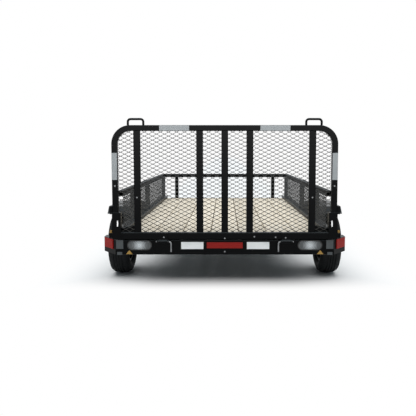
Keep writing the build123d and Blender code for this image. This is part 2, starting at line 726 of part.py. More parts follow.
# Wheels
def tyre(side):
    """A tyre turned from its section: beads, sidewalls stepped round a bulge, shoulders and a flat tread."""
    tread = TREAD_WIDTH / 2 - SHOULDER_RUN
    outer = TYRE_DIAMETER / 2
    bead = RIM_DIAMETER / 2 + SEAT_FIT
    bead_half = RIM_WIDTH / 2 - RIM_WALL - SEAT_FIT
    lip = bead + RIM_FLANGE
    shoulder = outer - SHOULDER_DROP
    belly = TYRE_SECTION / 2
    half = [(bead_half, bead), (bead_half, lip)]
    for step in range(1, SIDEWALL_STEPS):
        share = step / SIDEWALL_STEPS
        bulge = math.sin(math.pi * share)
        root = bead_half + (tread + SHOULDER_RUN - bead_half) * share
        half.append((root + (belly - root) * bulge, lip + (shoulder - lip) * share))
    half += [(tread + SHOULDER_RUN, shoulder), (tread, outer)]
    section = half + [(-across, radius) for across, radius in reversed(half)]
    return spun(section, side * WHEEL_X, AXLE_Y, AXLE_Z)


def rim(side):
    """A pressed-steel rim: a flanged barrel and a windowed disc bolted to the hub."""
    radius = RIM_DIAMETER / 2
    half = RIM_WIDTH / 2
    flange = radius + RIM_FLANGE
    inner = radius - RIM_WALL
    barrel = spun([(-half, inner), (half, inner), (half, flange), (half - RIM_WALL, flange),
                   (half - RIM_WALL, radius), (RIM_WALL - half, radius),
                   (RIM_WALL - half, flange), (-half, flange)], 0, 0, 0)
    seat = WHEEL_OFFSET
    crown = seat + 2 * DISC_THICK
    edge = radius - RIM_WALL / 2
    disc = spun([(seat, HUB_RADIUS + SEAT_FIT), (seat, HUB_FLANGE_RADIUS), (crown, CROWN_RADIUS),
                 (seat, edge), (seat + DISC_THICK, edge), (crown + DISC_THICK, CROWN_RADIUS),
                 (seat + DISC_THICK, HUB_FLANGE_RADIUS), (seat + DISC_THICK, HUB_RADIUS + SEAT_FIT)],
                0, 0, 0)
    for number in range(WINDOW_COUNT):
        turn = 360 / WINDOW_COUNT * (number + 0.5)
        disc -= Rot(turn, 0, 0) * rod((0, 0, WINDOW_CIRCLE), (half, 0, WINDOW_CIRCLE), WINDOW_RADIUS)
    for place in lug_places():
        disc -= rod((0, *place), (half, *place), LUG_RADIUS / 2)
    wheel = barrel + disc
    return Pos(side * WHEEL_X, AXLE_Y, AXLE_Z) * (wheel if side > 0 else mirror(wheel, Plane.YZ))


def lug_places():
    places = []
    for number in range(LUG_COUNT):
        turn = math.radians(360 / LUG_COUNT * number)
        places.append((LUG_CIRCLE * math.sin(turn), LUG_CIRCLE * math.cos(turn)))
    return places


def lug_nuts(side):
    """Hexagonal nuts on the disc, one for each stud."""
    seat = WHEEL_OFFSET + DISC_THICK
    nuts = []
    for y, z in lug_places():
        plane = Plane(origin=(side * (WHEEL_X + seat), AXLE_Y + y, AXLE_Z + z), z_dir=(side, 0, 0))
        nuts.append(extrude(plane * RegularPolygon(LUG_RADIUS, 6), amount=LUG_LENGTH))
    return nuts


def hub(side):
    """The hub turns on the spindle: barrel, wheel flange and a closed grease cap."""
    seat = WHEEL_X + WHEEL_OFFSET
    bore = SPINDLE_RADIUS + SPINDLE_FIT
    cap = HUB_OUT_X + CAP_LENGTH
    profile = [(HUB_IN_X, bore), (HUB_OUT_X + HUB_AXLE_GAP, bore), (HUB_OUT_X + HUB_AXLE_GAP, 0),
               (cap, 0), (cap, CAP_RADIUS - CAP_CHAMFER), (cap - CAP_CHAMFER, CAP_RADIUS),
               (HUB_OUT_X, CAP_RADIUS), (HUB_OUT_X, HUB_RADIUS), (seat, HUB_RADIUS),
               (seat, HUB_FLANGE_RADIUS), (seat - HUB_FLANGE_THICK, HUB_FLANGE_RADIUS),
               (seat - HUB_FLANGE_THICK, HUB_RADIUS), (HUB_IN_X, HUB_RADIUS)]
    return spun([(side * x, radius) for x, radius in profile], 0, AXLE_Y, AXLE_Z)


# Fenders
def fender_outline(low):
    """Side view of a flat-topped fender with slanted ends, closed along a lower level."""
    half = FENDER_FLAT / 2
    slant = half + FENDER_SKIRT
    skirt = FENDER_TOP - FENDER_SKIRT
    shape = [(AXLE_Y - slant, skirt), (AXLE_Y - half, FENDER_TOP),
             (AXLE_Y + half, FENDER_TOP), (AXLE_Y + slant, skirt)]
    return shape if low == skirt else shape + [(AXLE_Y + slant, low), (AXLE_Y - slant, low)]


def upright_plate(outline, side, near, far):
    """A plate standing fore and aft, from its side view, between two distances from the middle."""
    plane = Plane(origin=(side * near, 0, 0), x_dir=(0, 1, 0), z_dir=(1, 0, 0))
    return extrude(plane * make_face(Polyline(*outline, close=True)), amount=side * (far - near))


def fender(side):
    """Bent sheet over the tyre: a flat top, slanted ends and an outer skirt."""
    skirt = FENDER_TOP - FENDER_SKIRT
    outer = fender_outline(skirt)
    slope = math.tan(math.radians(22.5))
    inside = [(y + (FENDER_SHEET / slope if y < AXLE_Y else -FENDER_SHEET / slope), z)
              if z == skirt else (y + (FENDER_SHEET * slope if y < AXLE_Y else -FENDER_SHEET * slope),
                                  z - FENDER_SHEET) for y, z in outer]
    body = upright_plate(outer, side, RAIL_OUT + FENDER_SHEET, FENDER_OUT)
    return body - upright_plate(inside, side, RAIL_OUT + FENDER_SHEET, FENDER_OUT - FENDER_SHEET)


def fender_plate(side):
    """The plate against the side rail that carries the fender's inner edge."""
    return upright_plate(fender_outline(FENDER_PLATE_LOW), side, RAIL_OUT, RAIL_OUT + FENDER_SHEET)


# Tongue, coupler and jack
def tongue_x(y):
    return TONGUE_TIP_X + (TONGUE_TIP_Y - y) * TONGUE_SLOPE


def tongue_rail(side):
    """One leg of the A-frame, cut square across the trailer at both ends."""
    rear = BED_LENGTH - TONGUE_UNDER_BED
    plan = []
    for y, edge in ((rear, -1), (TONGUE_TIP_Y, -1), (TONGUE_TIP_Y, 1), (rear, 1)):
        plan.append((side * (tongue_x(y) + edge * TONGUE_HALF_CUT), y))
    solid = extrude(make_face(Polyline(*plan, close=True)), amount=TONGUE_HEIGHT)
    return Pos(0, 0, TONGUE_TOP - TONGUE_HEIGHT) * solid


def coupler():
    """A pressed coupler over the tongue's tip, with a ball socket open below."""
    shoulder_y = TONGUE_TIP_Y - COUPLER_SHOULDER
    half = COUPLER_ARM_WIDTH / 2
    wide = tongue_x(shoulder_y) + TONGUE_HALF_CUT
    plan = [(-wide, shoulder_y), (wide, shoulder_y), (half, TONGUE_TIP_Y), (half, BALL_Y),
            (-half, BALL_Y), (-half, TONGUE_TIP_Y)]
    body = Pos(0, 0, TONGUE_TOP) * extrude(make_face(Polyline(*plan, close=True)), amount=COUPLER_PLATE)
    body += block((-half, half), (TONGUE_TIP_Y - COUPLER_SHOULDER / 2, BALL_Y),
                  (TONGUE_TOP, TONGUE_TOP + COUPLER_ARM_HEIGHT))
    mouth = TONGUE_TOP - SOCKET_DROP
    crown = mouth + SOCKET_DEPTH + SOCKET_CROWN
    body += rod((0, BALL_Y, mouth), (0, BALL_Y, crown), SOCKET_OUT)
    body -= rod((0, BALL_Y, mouth), (0, BALL_Y, mouth + SOCKET_DEPTH), SOCKET_RADIUS)
    top = body.edges().filter_by(GeomType.CIRCLE).sort_by(Axis.Z)[-1]
    return chamfer(top, (SOCKET_CROWN + SOCKET_DEPTH - SOCKET_DROP - COUPLER_ARM_HEIGHT) / 2)


def coupler_lever():
    """The locking lever on top of the coupler's arm."""
    base = TONGUE_TOP + COUPLER_ARM_HEIGHT
    low_y = TONGUE_TIP_Y - COUPLER_SHOULDER / 2
    tail_y = low_y - COUPLER_SHOULDER / 3
    side_view = [(low_y, base), (BALL_Y - SOCKET_OUT, base), (BALL_Y - SOCKET_OUT, base + COUPLER_PLATE),
                 (TONGUE_TIP_Y, base + 2 * COUPLER_PLATE), (tail_y, base + 3 * COUPLER_PLATE),
                 (tail_y, base + 2 * COUPLER_PLATE)]
    plane = Plane(origin=(-COUPLER_PLATE, 0, 0), x_dir=(0, 1, 0), z_dir=(1, 0, 0))
    return extrude(plane * make_face(Polyline(*side_view, close=True)), amount=2 * COUPLER_PLATE)


def jack_plate():
    """A plate across the tongue, bored for the jack's tube."""
    half = JACK_PLATE_LENGTH / 2
    plan = []
    for y, side in ((JACK_Y - half, -1), (JACK_Y - half, 1), (JACK_Y + half, 1), (JACK_Y + half, -1)):
        plan.append((side * (tongue_x(y) - TONGUE_HALF_CUT + JACK_PLATE_LAP), y))
    plate = extrude(make_face(Polyline(*plan, close=True)), amount=JACK_PLATE_THICK)
    hole = rod((0, JACK_Y, 0), (0, JACK_Y, JACK_PLATE_THICK), JACK_TUBE_RADIUS + SEAT_FIT)
    return Pos(0, 0, TONGUE_TOP) * (plate - hole)


def jack_tube():
    flange_z = TONGUE_TOP + JACK_PLATE_THICK
    tube = rod((0, JACK_Y, JACK_TUBE_BOTTOM), (0, JACK_Y, JACK_TUBE_TOP), JACK_TUBE_RADIUS)
    tube += rod((0, JACK_Y, flange_z), (0, JACK_Y, flange_z + JACK_PLATE_THICK), JACK_FLANGE_RADIUS)
    return tube - rod((0, JACK_Y, JACK_TUBE_BOTTOM), (0, JACK_Y, JACK_TUBE_TOP), JACK_BORE_RADIUS)


def jack_head():
    top = JACK_TUBE_TOP + JACK_HEAD_HEIGHT
    head = rod((0, JACK_Y, JACK_TUBE_TOP), (0, JACK_Y, top), JACK_HEAD_RADIUS)
    return chamfer(head.edges().sort_by(Axis.Z)[-1], JACK_HEAD_HEIGHT / 4)


def jack_crank():
    """A bent rod: a stem out of the head, an arm pointing forward and an upright grip."""
    base = JACK_TUBE_TOP + JACK_HEAD_HEIGHT
    level = base + CRANK_STEM
    path = FilletPolyline((0, JACK_Y, base), (0, JACK_Y, level), (0, JACK_Y + CRANK_ARM, level),
                          (0, JACK_Y + CRANK_ARM, level + CRANK_GRIP), radius=CRANK_ROD)
    start = Plane(origin=(0, JACK_Y, base), z_dir=(0, 0, 1))
    return sweep(start * Circle(CRANK_ROD / 2), path=path)


def jack_leg():
    radius = JACK_BORE_RADIUS - JACK_FIT
    leg = rod((0, JACK_Y, JACK_FOOT_THICK), (0, JACK_Y, JACK_LEG_TOP), radius)
    return leg - rod((0, JACK_Y, JACK_FOOT_THICK), (0, JACK_Y, JACK_LEG_TOP), radius - JACK_LEG_WALL)


def jack_foot():
    half = JACK_FOOT / 2
    foot = block((-half, half), (JACK_Y - half, JACK_Y + half), (0, JACK_FOOT_THICK))
    return fillet(foot.edges().filter_by(Axis.Z), half / 4)


def both(make):
    """The solids of a piece that is made once on each side."""
    solids = []
    for _, side in SIDES:
        made = make(side)
        solids += made if isinstance(made, list) else [made]
    return solids


def main():
    os.makedirs("parts", exist_ok=True)
    write("front_rail", front_rail())
    write("crossmembers", *crossmembers())
    write("deck_planks", *planks())
    write("wall_posts", *both(wall_posts))
    write("wall_rails", *both(wall_rail))
    write("wall_mesh", *both(wall_mesh))
    write("front_wall_rail", front_wall_rail())
    write("front_wall_posts", *front_wall_posts())
    write("rear_beam", rear_beam())
    write("lamp_panels", *lamp_panels())
    write("oval_lamps", *oval_lamps())
    write("lamp_grommets", *lamp_grommets())
    write("light_bar", light_bar())
    write("rail_end_caps", *rail_end_caps())
    write("corner_boxes", *both(corner_bracket))
    write("corner_lenses", *both(corner_lens))
    write("amber_markers", *both(amber_marker))
    write("gate_frame", gate_frame())
    write("gate_rail", gate_rail())
    write("gate_uprights", *gate_uprights())
    write("gate_mesh", *gate_mesh())
    write("gate_sleeves", *both(gate_sleeve))
    write("gate_latches", *both(gate_latch))
    write("gate_handles", *both(gate_handle))
    write("hinge_leaves", *both(hinge_leaf))
    write("hinge_ears", *both(hinge_ears))
    write("hinge_pins", *both(hinge_pin))
    write("axle", axle())
    write("leaf_springs", *both(leaf_spring))
    write("spring_hangers", *both(spring_hangers))
    write("axle_clamps", *both(axle_clamp))
    write("fenders", *both(fender))
    write("fender_plates", *both(fender_plate))
    write("coupler", coupler())
    write("coupler_lever", coupler_lever())
    write("jack_plate", jack_plate())
    write("jack_tube", jack_tube())
    write("jack_head", jack_head())
    write("jack_crank", jack_crank())
    write("jack_leg", jack_leg())
    write("jack_foot", jack_foot())
    for name, side in SIDES:
        write(f"side_rail_{name}", side_rail(side))
        write(f"tongue_rail_{name}", tongue_rail(side))
        write(f"tyre_{name}", tyre(side))
        write(f"rim_{name}", rim(side))
        write(f"lug_nuts_{name}", *lug_nuts(side))
        write(f"hub_{name}", hub(side))


main()
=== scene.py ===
# %% [markdown]
# # A utility trailer seen from behind
# The trailer's steel frame, wheels and lamps come ready-made from the CAD frame. This lesson gives them
# their finishes and adds what a solid modeller leaves plain: the expanded-metal screens, the road tread,
# sawn planks, reflective tape and the small bolts. Everything is in metres, in the frame's own axes:
# +X is the right-hand side seen from behind, +Y runs forward to the coupler and +Z is up.

# %% Load the frame
import json
import math

import bmesh
import bpy
from mathutils import Matrix, Vector


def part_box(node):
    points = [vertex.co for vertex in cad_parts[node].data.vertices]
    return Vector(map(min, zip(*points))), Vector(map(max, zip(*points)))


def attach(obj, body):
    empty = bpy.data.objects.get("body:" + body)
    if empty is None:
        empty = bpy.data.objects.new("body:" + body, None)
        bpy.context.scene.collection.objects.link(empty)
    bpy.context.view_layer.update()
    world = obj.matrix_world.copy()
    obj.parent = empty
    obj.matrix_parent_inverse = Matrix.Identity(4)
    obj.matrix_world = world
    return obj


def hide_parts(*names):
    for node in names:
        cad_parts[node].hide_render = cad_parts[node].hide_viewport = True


MM = 0.001

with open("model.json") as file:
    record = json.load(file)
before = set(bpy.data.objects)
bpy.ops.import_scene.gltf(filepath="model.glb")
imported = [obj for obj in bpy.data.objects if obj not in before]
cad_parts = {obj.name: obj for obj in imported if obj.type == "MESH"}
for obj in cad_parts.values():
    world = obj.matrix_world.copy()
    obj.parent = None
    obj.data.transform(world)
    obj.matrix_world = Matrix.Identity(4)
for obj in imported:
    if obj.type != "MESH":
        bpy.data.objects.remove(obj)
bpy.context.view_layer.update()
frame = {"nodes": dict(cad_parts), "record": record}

# %% [markdown]
# ## Plain finishes
# No powder coat, rubber or zinc is perfectly even. Each finish could be one flat colour, but then large
# tubes look like plastic. So a finish is a small node tree on one Principled shader: a noise drives colour
# and roughness a little, and a faint bump breaks up the reflections. Object coordinates keep the pattern
# fixed to its piece when the gate swings or a wheel turns.


# %% Start a finish
def start_material(name):
    """A new material, its tree, its shader and its Object coordinates."""
    material = bpy.data.materials.new(name)
    material.use_nodes = True
    tree = material.node_tree
    coordinates = tree.nodes.new("ShaderNodeTexCoord")
    return material, tree, tree.nodes["Principled BSDF"], coordinates.outputs["Object"]


# %% Noise and colour
CLOUD_DETAIL = 4.0
GRAIN_DETAIL = 2.0
EVEN_ROUGHNESS = 0.5
NOISE_STOPS = (0.3, 0.7)


def noise(tree, vector, scale, detail=CLOUD_DETAIL, roughness=EVEN_ROUGHNESS):
    texture = tree.nodes.new("ShaderNodeTexNoise")
    texture.inputs["Scale"].default_value = scale
    texture.inputs["Detail"].default_value = detail
    texture.inputs["Roughness"].default_value = roughness
    tree.links.new(vector, texture.inputs["Vector"])
    return texture.outputs["Fac"]


def ramp(tree, factor, colours, stops=NOISE_STOPS):
    """A blend from the first colour to the second while the factor goes from stop to stop."""
    node = tree.nodes.new("ShaderNodeValToRGB")
    for element, colour, stop in zip(node.color_ramp.elements, colours, stops):
        element.position = stop
        element.color = (*colour, 1.0)
    tree.links.new(factor, node.inputs["Fac"])
    return node.outputs["Color"]


# %% Numbers and bump
def spread(tree, factor, low, high, start=0.0, end=1.0, smooth=False):
    """A number that goes from low to high while the factor goes from start to end."""
    node = tree.nodes.new("ShaderNodeMapRange")
    if smooth:
        node.interpolation_type = "SMOOTHSTEP"
    node.inputs["From Min"].default_value = start
    node.inputs["From Max"].default_value = end
    node.inputs["To Min"].default_value = low
    node.inputs["To Max"].default_value = high
    tree.links.new(factor, node.inputs["Value"])
    return node.outputs["Result"]


def bump(tree, shader, height, strength, rise):
    node = tree.nodes.new("ShaderNodeBump")
    node.inputs["Strength"].default_value = strength
    node.inputs["Distance"].default_value = rise
    tree.links.new(height, node.inputs["Height"])
    tree.links.new(node.outputs["Normal"], shader.inputs["Normal"])


# %% A worn finish
PATCH_SCALE = 6.0
GRAIN_SCALE = 400.0
GRAIN_STRENGTH = 0.08
GRAIN_RISE = 0.5 * MM
PLAIN_SPECULAR = 0.5


def worn_finish(name, colours, rough, metallic=0.0, patch_scale=PATCH_SCALE, grain_scale=GRAIN_SCALE,
                grain=GRAIN_STRENGTH, specular=PLAIN_SPECULAR):
    """A finish whose colour and gloss drift in patches, over a fine grain."""
    material, tree, shader, place = start_material(name)
    patches = noise(tree, place, patch_scale)
    tree.links.new(ramp(tree, patches, colours), shader.inputs["Base Color"])
    tree.links.new(spread(tree, patches, *rough), shader.inputs["Roughness"])
    shader.inputs["Metallic"].default_value = metallic
    shader.inputs["Specular IOR Level"].default_value = specular
    bump(tree, shader, noise(tree, place, grain_scale, GRAIN_DETAIL), grain, GRAIN_RISE)
    return material


# %% Rubber, zinc, silver and dull black
PLAIN_LOOKS = {
    # The mesh is painted grey, lighter than its black coat: a painted sheen for the light its strands catch
    # at a grazing angle.
    "mesh_black": dict(colours=((0.046, 0.050, 0.054), (0.074, 0.078, 0.082)),
                       rough=(0.60, 0.75), specular=0.1),
    "axle_black": dict(colours=((0.004, 0.004, 0.004), (0.009, 0.009, 0.008)),
                       rough=(0.45, 0.65), specular=0.2),
    "zinc_plate": dict(colours=((0.22, 0.225, 0.23), (0.38, 0.385, 0.385)),
                       rough=(0.28, 0.48), metallic=1.0, patch_scale=40.0),
    "bright_zinc": dict(colours=((0.58, 0.59, 0.60), (0.74, 0.75, 0.75)),
                        rough=(0.25, 0.40), metallic=1.0, patch_scale=40.0),
    "dull_zinc": dict(colours=((0.12, 0.125, 0.13), (0.20, 0.205, 0.21)),
                      rough=(0.40, 0.60), metallic=0.8, patch_scale=40.0),
    "wheel_silver": dict(colours=((0.56, 0.57, 0.58), (0.68, 0.69, 0.70)),
                         rough=(0.30, 0.42), metallic=0.3, patch_scale=12.0),
    "tyre_rubber": dict(colours=((0.0035, 0.0045, 0.005), (0.007, 0.008, 0.009)), rough=(0.62, 0.80),
                        patch_scale=14.0, grain_scale=900.0, grain=0.25, specular=0.15),
    "grommet_rubber": dict(colours=((0.006, 0.006, 0.006), (0.012, 0.012, 0.012)),
                           rough=(0.50, 0.70), patch_scale=30.0, specular=0.35),
    "cap_grey": dict(colours=((0.044, 0.052, 0.056), (0.058, 0.067, 0.071)),
                     rough=(0.40, 0.55), patch_scale=30.0, specular=0.3),
}

finishes = {name: worn_finish(name, **look) for name, look in PLAIN_LOOKS.items()}
print("plain finishes", list(finishes))

# %% [markdown]
# ## Black powder coat
# The frame is steel tube under black powder coat. Its upper edges and whatever faces up are painted paler,
# a painted highlight for the light they catch from above. Painting it by hand would take a map for every
# tube. A Bevel node does it for all of them: it gives a normal that is rounded at the edges, and in the
# piece's own axes the Z of that normal says how far a spot faces up. The painted highlight stays on its
# piece when the gate swings.


# %% Axes and sums
def axis(tree, vector, letter):
    """One of a vector's three numbers."""
    node = tree.nodes.new("ShaderNodeSeparateXYZ")
    tree.links.new(vector, node.inputs["Vector"])
    return node.outputs[letter]


def combine(tree, operation, *values):
    """A Math node, whose values are sockets or plain numbers."""
    node = tree.nodes.new("ShaderNodeMath")
    node.operation = operation
    for place, value in zip(node.inputs, values):
        if isinstance(value, bpy.types.NodeSocket):
            tree.links.new(value, place)
        else:
            place.default_value = value
    return node.outputs["Value"]


# %% Black paint
EDGE_REACH = 5.0 * MM
PAINT = (0.0010, 0.0014, 0.0018)
# Paler colour for upper edges and upward faces: a painted highlight.
PAINTED_TOP_HIGHLIGHT = (0.042, 0.048, 0.052)
HIGHLIGHT_STOPS = (0.25, 0.85)
HIGHLIGHT_PATCHES = 0.2
PAINT_GRAIN = 0.05
PAINT_LOOKS = {"frame_black": dict(rough=(0.28, 0.36), specular=0.05),
               "wall_black": dict(rough=(0.50, 0.60), specular=0.03)}


def paint_finish(name, rough, specular):
    """Black powder coat with a painted highlight on upper edges and on whatever faces up."""
    material, tree, shader, place = start_material(name)
    softened = tree.nodes.new("ShaderNodeBevel")
    softened.inputs["Radius"].default_value = EDGE_REACH
    facing = tree.nodes.new("ShaderNodeVectorTransform")
    facing.vector_type = "NORMAL"
    facing.convert_from = "WORLD"
    facing.convert_to = "OBJECT"
    tree.links.new(softened.outputs["Normal"], facing.inputs["Vector"])
    upward = axis(tree, facing.outputs["Vector"], "Z")
    patches = noise(tree, place, PATCH_SCALE)
    # Upward faces and upper edges, with a little patchiness, get the painted highlight.
    painted_highlight = combine(tree, "MULTIPLY_ADD", patches, HIGHLIGHT_PATCHES, upward)
    colour = ramp(tree, painted_highlight, (PAINT, PAINTED_TOP_HIGHLIGHT), HIGHLIGHT_STOPS)
    tree.links.new(colour, shader.inputs["Base Color"])
    tree.links.new(spread(tree, patches, *rough), shader.inputs["Roughness"])
    shader.inputs["Specular IOR Level"].default_value = specular
    bump(tree, shader, noise(tree, place, GRAIN_SCALE, GRAIN_DETAIL), PAINT_GRAIN, GRAIN_RISE)
    return material


for name, look in PAINT_LOOKS.items():
    finishes[name] = paint_finish(name, **look)
print("paint finishes", list(PAINT_LOOKS))

# %% [markdown]
# ## Gate mesh, paler at the foot
# The gate hangs right behind the wheels. The foot of its mesh is paler and browner, and the top stays
# black. The strands are too thin to paint, but they need no more than a blend along Z, with a noise to
# break up its edge.

# %% Gate mesh, paler at the foot
PALE_FOOT_LEVEL = (0.72, 0.98)
# Paler, browner colour toward the foot of the gate's mesh.
PALE_FOOT = (0.060, 0.058, 0.052)
BLACK_TOP = (0.014, 0.016, 0.018)
PALE_FOOT_STOPS = (0.1, 1.0)
FOOT_EDGE_CLOUDS = 25.0
CLOUD_DEPTH = 0.3
FOOT_ROUGH = 0.7
TOP_ROUGH = 0.45
MESH_SPECULAR = 0.25


def pale_foot_finish(name):
    """Black mesh that turns paler and browner toward the foot of the gate."""
    material, tree, shader, place = start_material(name)
    height = spread(tree, axis(tree, place, "Z"), 0.0, 1.0, *PALE_FOOT_LEVEL)
    toward_top = combine(tree, "MULTIPLY_ADD", noise(tree, place, FOOT_EDGE_CLOUDS), CLOUD_DEPTH, height)
    tree.links.new(ramp(tree, toward_top, (PALE_FOOT, BLACK_TOP), PALE_FOOT_STOPS), shader.inputs["Base Color"])
    tree.links.new(spread(tree, toward_top, FOOT_ROUGH, TOP_ROUGH), shader.inputs["Roughness"])
    shader.inputs["Specular IOR Level"].default_value = MESH_SPECULAR
    return material


gate_mesh_finish = pale_foot_finish("pale_foot_mesh")
# The mesh turns paler toward its foot between these heights.
print("dust on the gate thins out from", PALE_FOOT_LEVEL[0], "to", PALE_FOOT_LEVEL[1], "m above the ground")

# %% [markdown]
# ## Wheel rims
# A rim is silver where it faces out. Its inside, toward the axle, is painted black: painted shade, as it
# lies under the trailer. A second material on the inner faces would do, but its border would have to follow
# the faces. The wheel turns about X, so a blend along X stays in place however far it has turned.

# %% Painted shade inside the rims
# Black painted on the inside of each rim: painted shade.
RIM_SHADE = (0.006, 0.006, 0.006)
RIM_SHADE_EDGE = (0.8925, 0.8965)


def add_rim_shade(material):
    """Blends from painted shade to the material's own colour across the edge of the wheel's disc."""
    tree = material.node_tree
    colour = tree.nodes["Principled BSDF"].inputs["Base Color"]
    silver = colour.links[0].from_socket
    place = tree.nodes["Texture Coordinate"].outputs["Object"]
    outward = combine(tree, "ABSOLUTE", axis(tree, place, "X"))
    blend = tree.nodes.new("ShaderNodeMixRGB")
    blend.inputs["Color1"].default_value = (*RIM_SHADE, 1.0)
    tree.links.new(spread(tree, outward, 0.0, 1.0, *RIM_SHADE_EDGE), blend.inputs["Fac"])
    tree.links.new(silver, blend.inputs["Color2"])
    tree.links.new(blend.outputs["Color"], colour)


add_rim_shade(finishes["wheel_silver"])
# The inside of each rim is painted black as shade, up to this distance from the middle.
print("grime up to", RIM_SHADE_EDGE[0], "m from the middle of the trailer")

# %% [markdown]
# ## Coloured lenses
# The red and amber lenses are moulded plastic with fine ribs on the inside, which show as soft bands. The
# ribs could be cut as geometry, but they are under the surface, so a Wave texture draws them in colour and
# lifts the surface a little. At scale 1 that texture repeats every pi / 10 units, and this length over the
# wanted rib width is its scale.

# %% Lens finishes
WAVE_REPEAT = math.pi / 10
LENS_RIB = 6.0 * MM
RIB_STOPS = (0.1, 0.9)
RIB_STRENGTH = 0.15
MOULDED_RISE = 1.0 * MM
LENS_ROUGH = 0.35
LENS_LOOKS = {"lens_red": dict(colours=((0.25, 0.015, 0.013), (0.36, 0.026, 0.022)), specular=0.03),
              "lens_amber": dict(colours=((0.34, 0.19, 0.04), (0.50, 0.30, 0.07)), specular=0.2)}


def lens_finish(name, colours, specular):
    """A moulded lens with fine upright ribs that show as bands."""
    material, tree, shader, place = start_material(name)
    ribs = tree.nodes.new("ShaderNodeTexWave")
    ribs.bands_direction = "X"
    ribs.inputs["Scale"].default_value = WAVE_REPEAT / LENS_RIB
    tree.links.new(place, ribs.inputs["Vector"])
    tree.links.new(ramp(tree, ribs.outputs["Fac"], colours, RIB_STOPS), shader.inputs["Base Color"])
    shader.inputs["Roughness"].default_value = LENS_ROUGH
    shader.inputs["Specular IOR Level"].default_value = specular
    bump(tree, shader, ribs.outputs["Fac"], RIB_STRENGTH, MOULDED_RISE)
    return material


for name, look in LENS_LOOKS.items():
    finishes[name] = lens_finish(name, **look)
print("lens finishes", list(LENS_LOOKS))

# %% [markdown]
# ## Clear lamps
# Behind each clear oval lens a bulb sits in a bowl, under rings of moulded optics. Real glass with a bowl
# inside would need far more samples than this small lamp is worth. The finish paints the light instead: a
# painted reflection bright at the bulb, painted shade dim toward the rim, with a Wave texture in rings. Both
# lamps share it, because the distance to the lamp's middle is taken from the size of X, whatever its sign.

# %% Clear lamps
LAMP_LENGTH = 154.0 * MM
LAMP_RING = 9.0 * MM
BULB_REACH = 15.0 * MM
# Painted reflection at the bulb, and painted shade in the bowl around it.
BULB_REFLECTION = (0.68, 0.71, 0.73)
BOWL_SHADE = (0.070, 0.076, 0.078)
LAMP_STOPS = (0.05, 0.75)
RING_DEPTH = 0.35
RING_STRENGTH = 0.3
LAMP_ROUGH = 0.15

lamp_low, lamp_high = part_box("oval_lamps")
lamp_x = lamp_high.x - LAMP_LENGTH / 2
lamp_z = (lamp_low.z + lamp_high.z) / 2


def lamp_finish(name):
    """A clear oval lamp: a painted bright reflection at the bulb in the middle, then painted shade in the
    bowl under rings of moulded optics.
    """
    material, tree, shader, place = start_material(name)
    aside = combine(tree, "ABSOLUTE", axis(tree, place, "X"))
    offset = tree.nodes.new("ShaderNodeCombineXYZ")
    tree.links.new(combine(tree, "SUBTRACT", aside, lamp_x), offset.inputs["X"])
    tree.links.new(combine(tree, "SUBTRACT", axis(tree, place, "Z"), lamp_z), offset.inputs["Z"])
    rings = tree.nodes.new("ShaderNodeTexWave")
    rings.wave_type = "RINGS"
    rings.rings_direction = "SPHERICAL"
    rings.inputs["Scale"].default_value = WAVE_REPEAT / LAMP_RING
    tree.links.new(offset.outputs["Vector"], rings.inputs["Vector"])
    reach = tree.nodes.new("ShaderNodeVectorMath")
    reach.operation = "LENGTH"
    tree.links.new(offset.outputs["Vector"], reach.inputs[0])
    reflection_to_shade = spread(tree, reach.outputs["Value"], 0.0, 1.0, BULB_REACH / 2, LAMP_LENGTH / 2)
    optics = combine(tree, "MULTIPLY_ADD", rings.outputs["Fac"], RING_DEPTH, reflection_to_shade)
    tree.links.new(ramp(tree, optics, (BULB_REFLECTION, BOWL_SHADE), LAMP_STOPS), shader.inputs["Base Color"])
    shader.inputs["Roughness"].default_value = LAMP_ROUGH
    bump(tree, shader, rings.outputs["Fac"], RING_STRENGTH, MOULDED_RISE)
    return material


finishes["lens_clear"] = lamp_finish("lens_clear")
print("lamp middles", round(lamp_x, 3), "m aside and", round(lamp_z, 3), "m up")

# %% [markdown]
# ## Sawn planks
# The deck is pale pine boards running front to back. Grain is noise stretched along the board, and each
# board gets its own shade: its number is the floor of X over the board pitch, and White Noise turns that
# number into a steady random value. Faces that look down are painted dark: painted shade under the deck.

# %% Wood finish
PLANK_COUNT = 7
GRAIN_STRETCH = (60.0, 2.2, 60.0)
FIBRE_DETAIL = 6.0
FIBRE_ROUGHNESS = 0.6
FIBRES = ((0.70, 0.61, 0.47), (0.90, 0.83, 0.71))
FIBRE_STRENGTH = 0.3
FIBRE_RISE = 1.0 * MM
BOARD_SHADES = (0.90, 1.06)
# Brightness left on faces that look down: painted shade under the deck.
UNDERSIDE_SHADE = 0.05
DOWNWARD = (-1.0, -0.5)
WOOD_ROUGH = 0.75

deck_low, deck_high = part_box("deck_planks")
PLANK_PITCH = (deck_high.x - deck_low.x) / PLANK_COUNT


def stretched(tree, vector, scale):
    mapping = tree.nodes.new("ShaderNodeMapping")
    mapping.inputs["Scale"].default_value = scale
    tree.links.new(vector, mapping.inputs["Vector"])
    return mapping.outputs["Vector"]


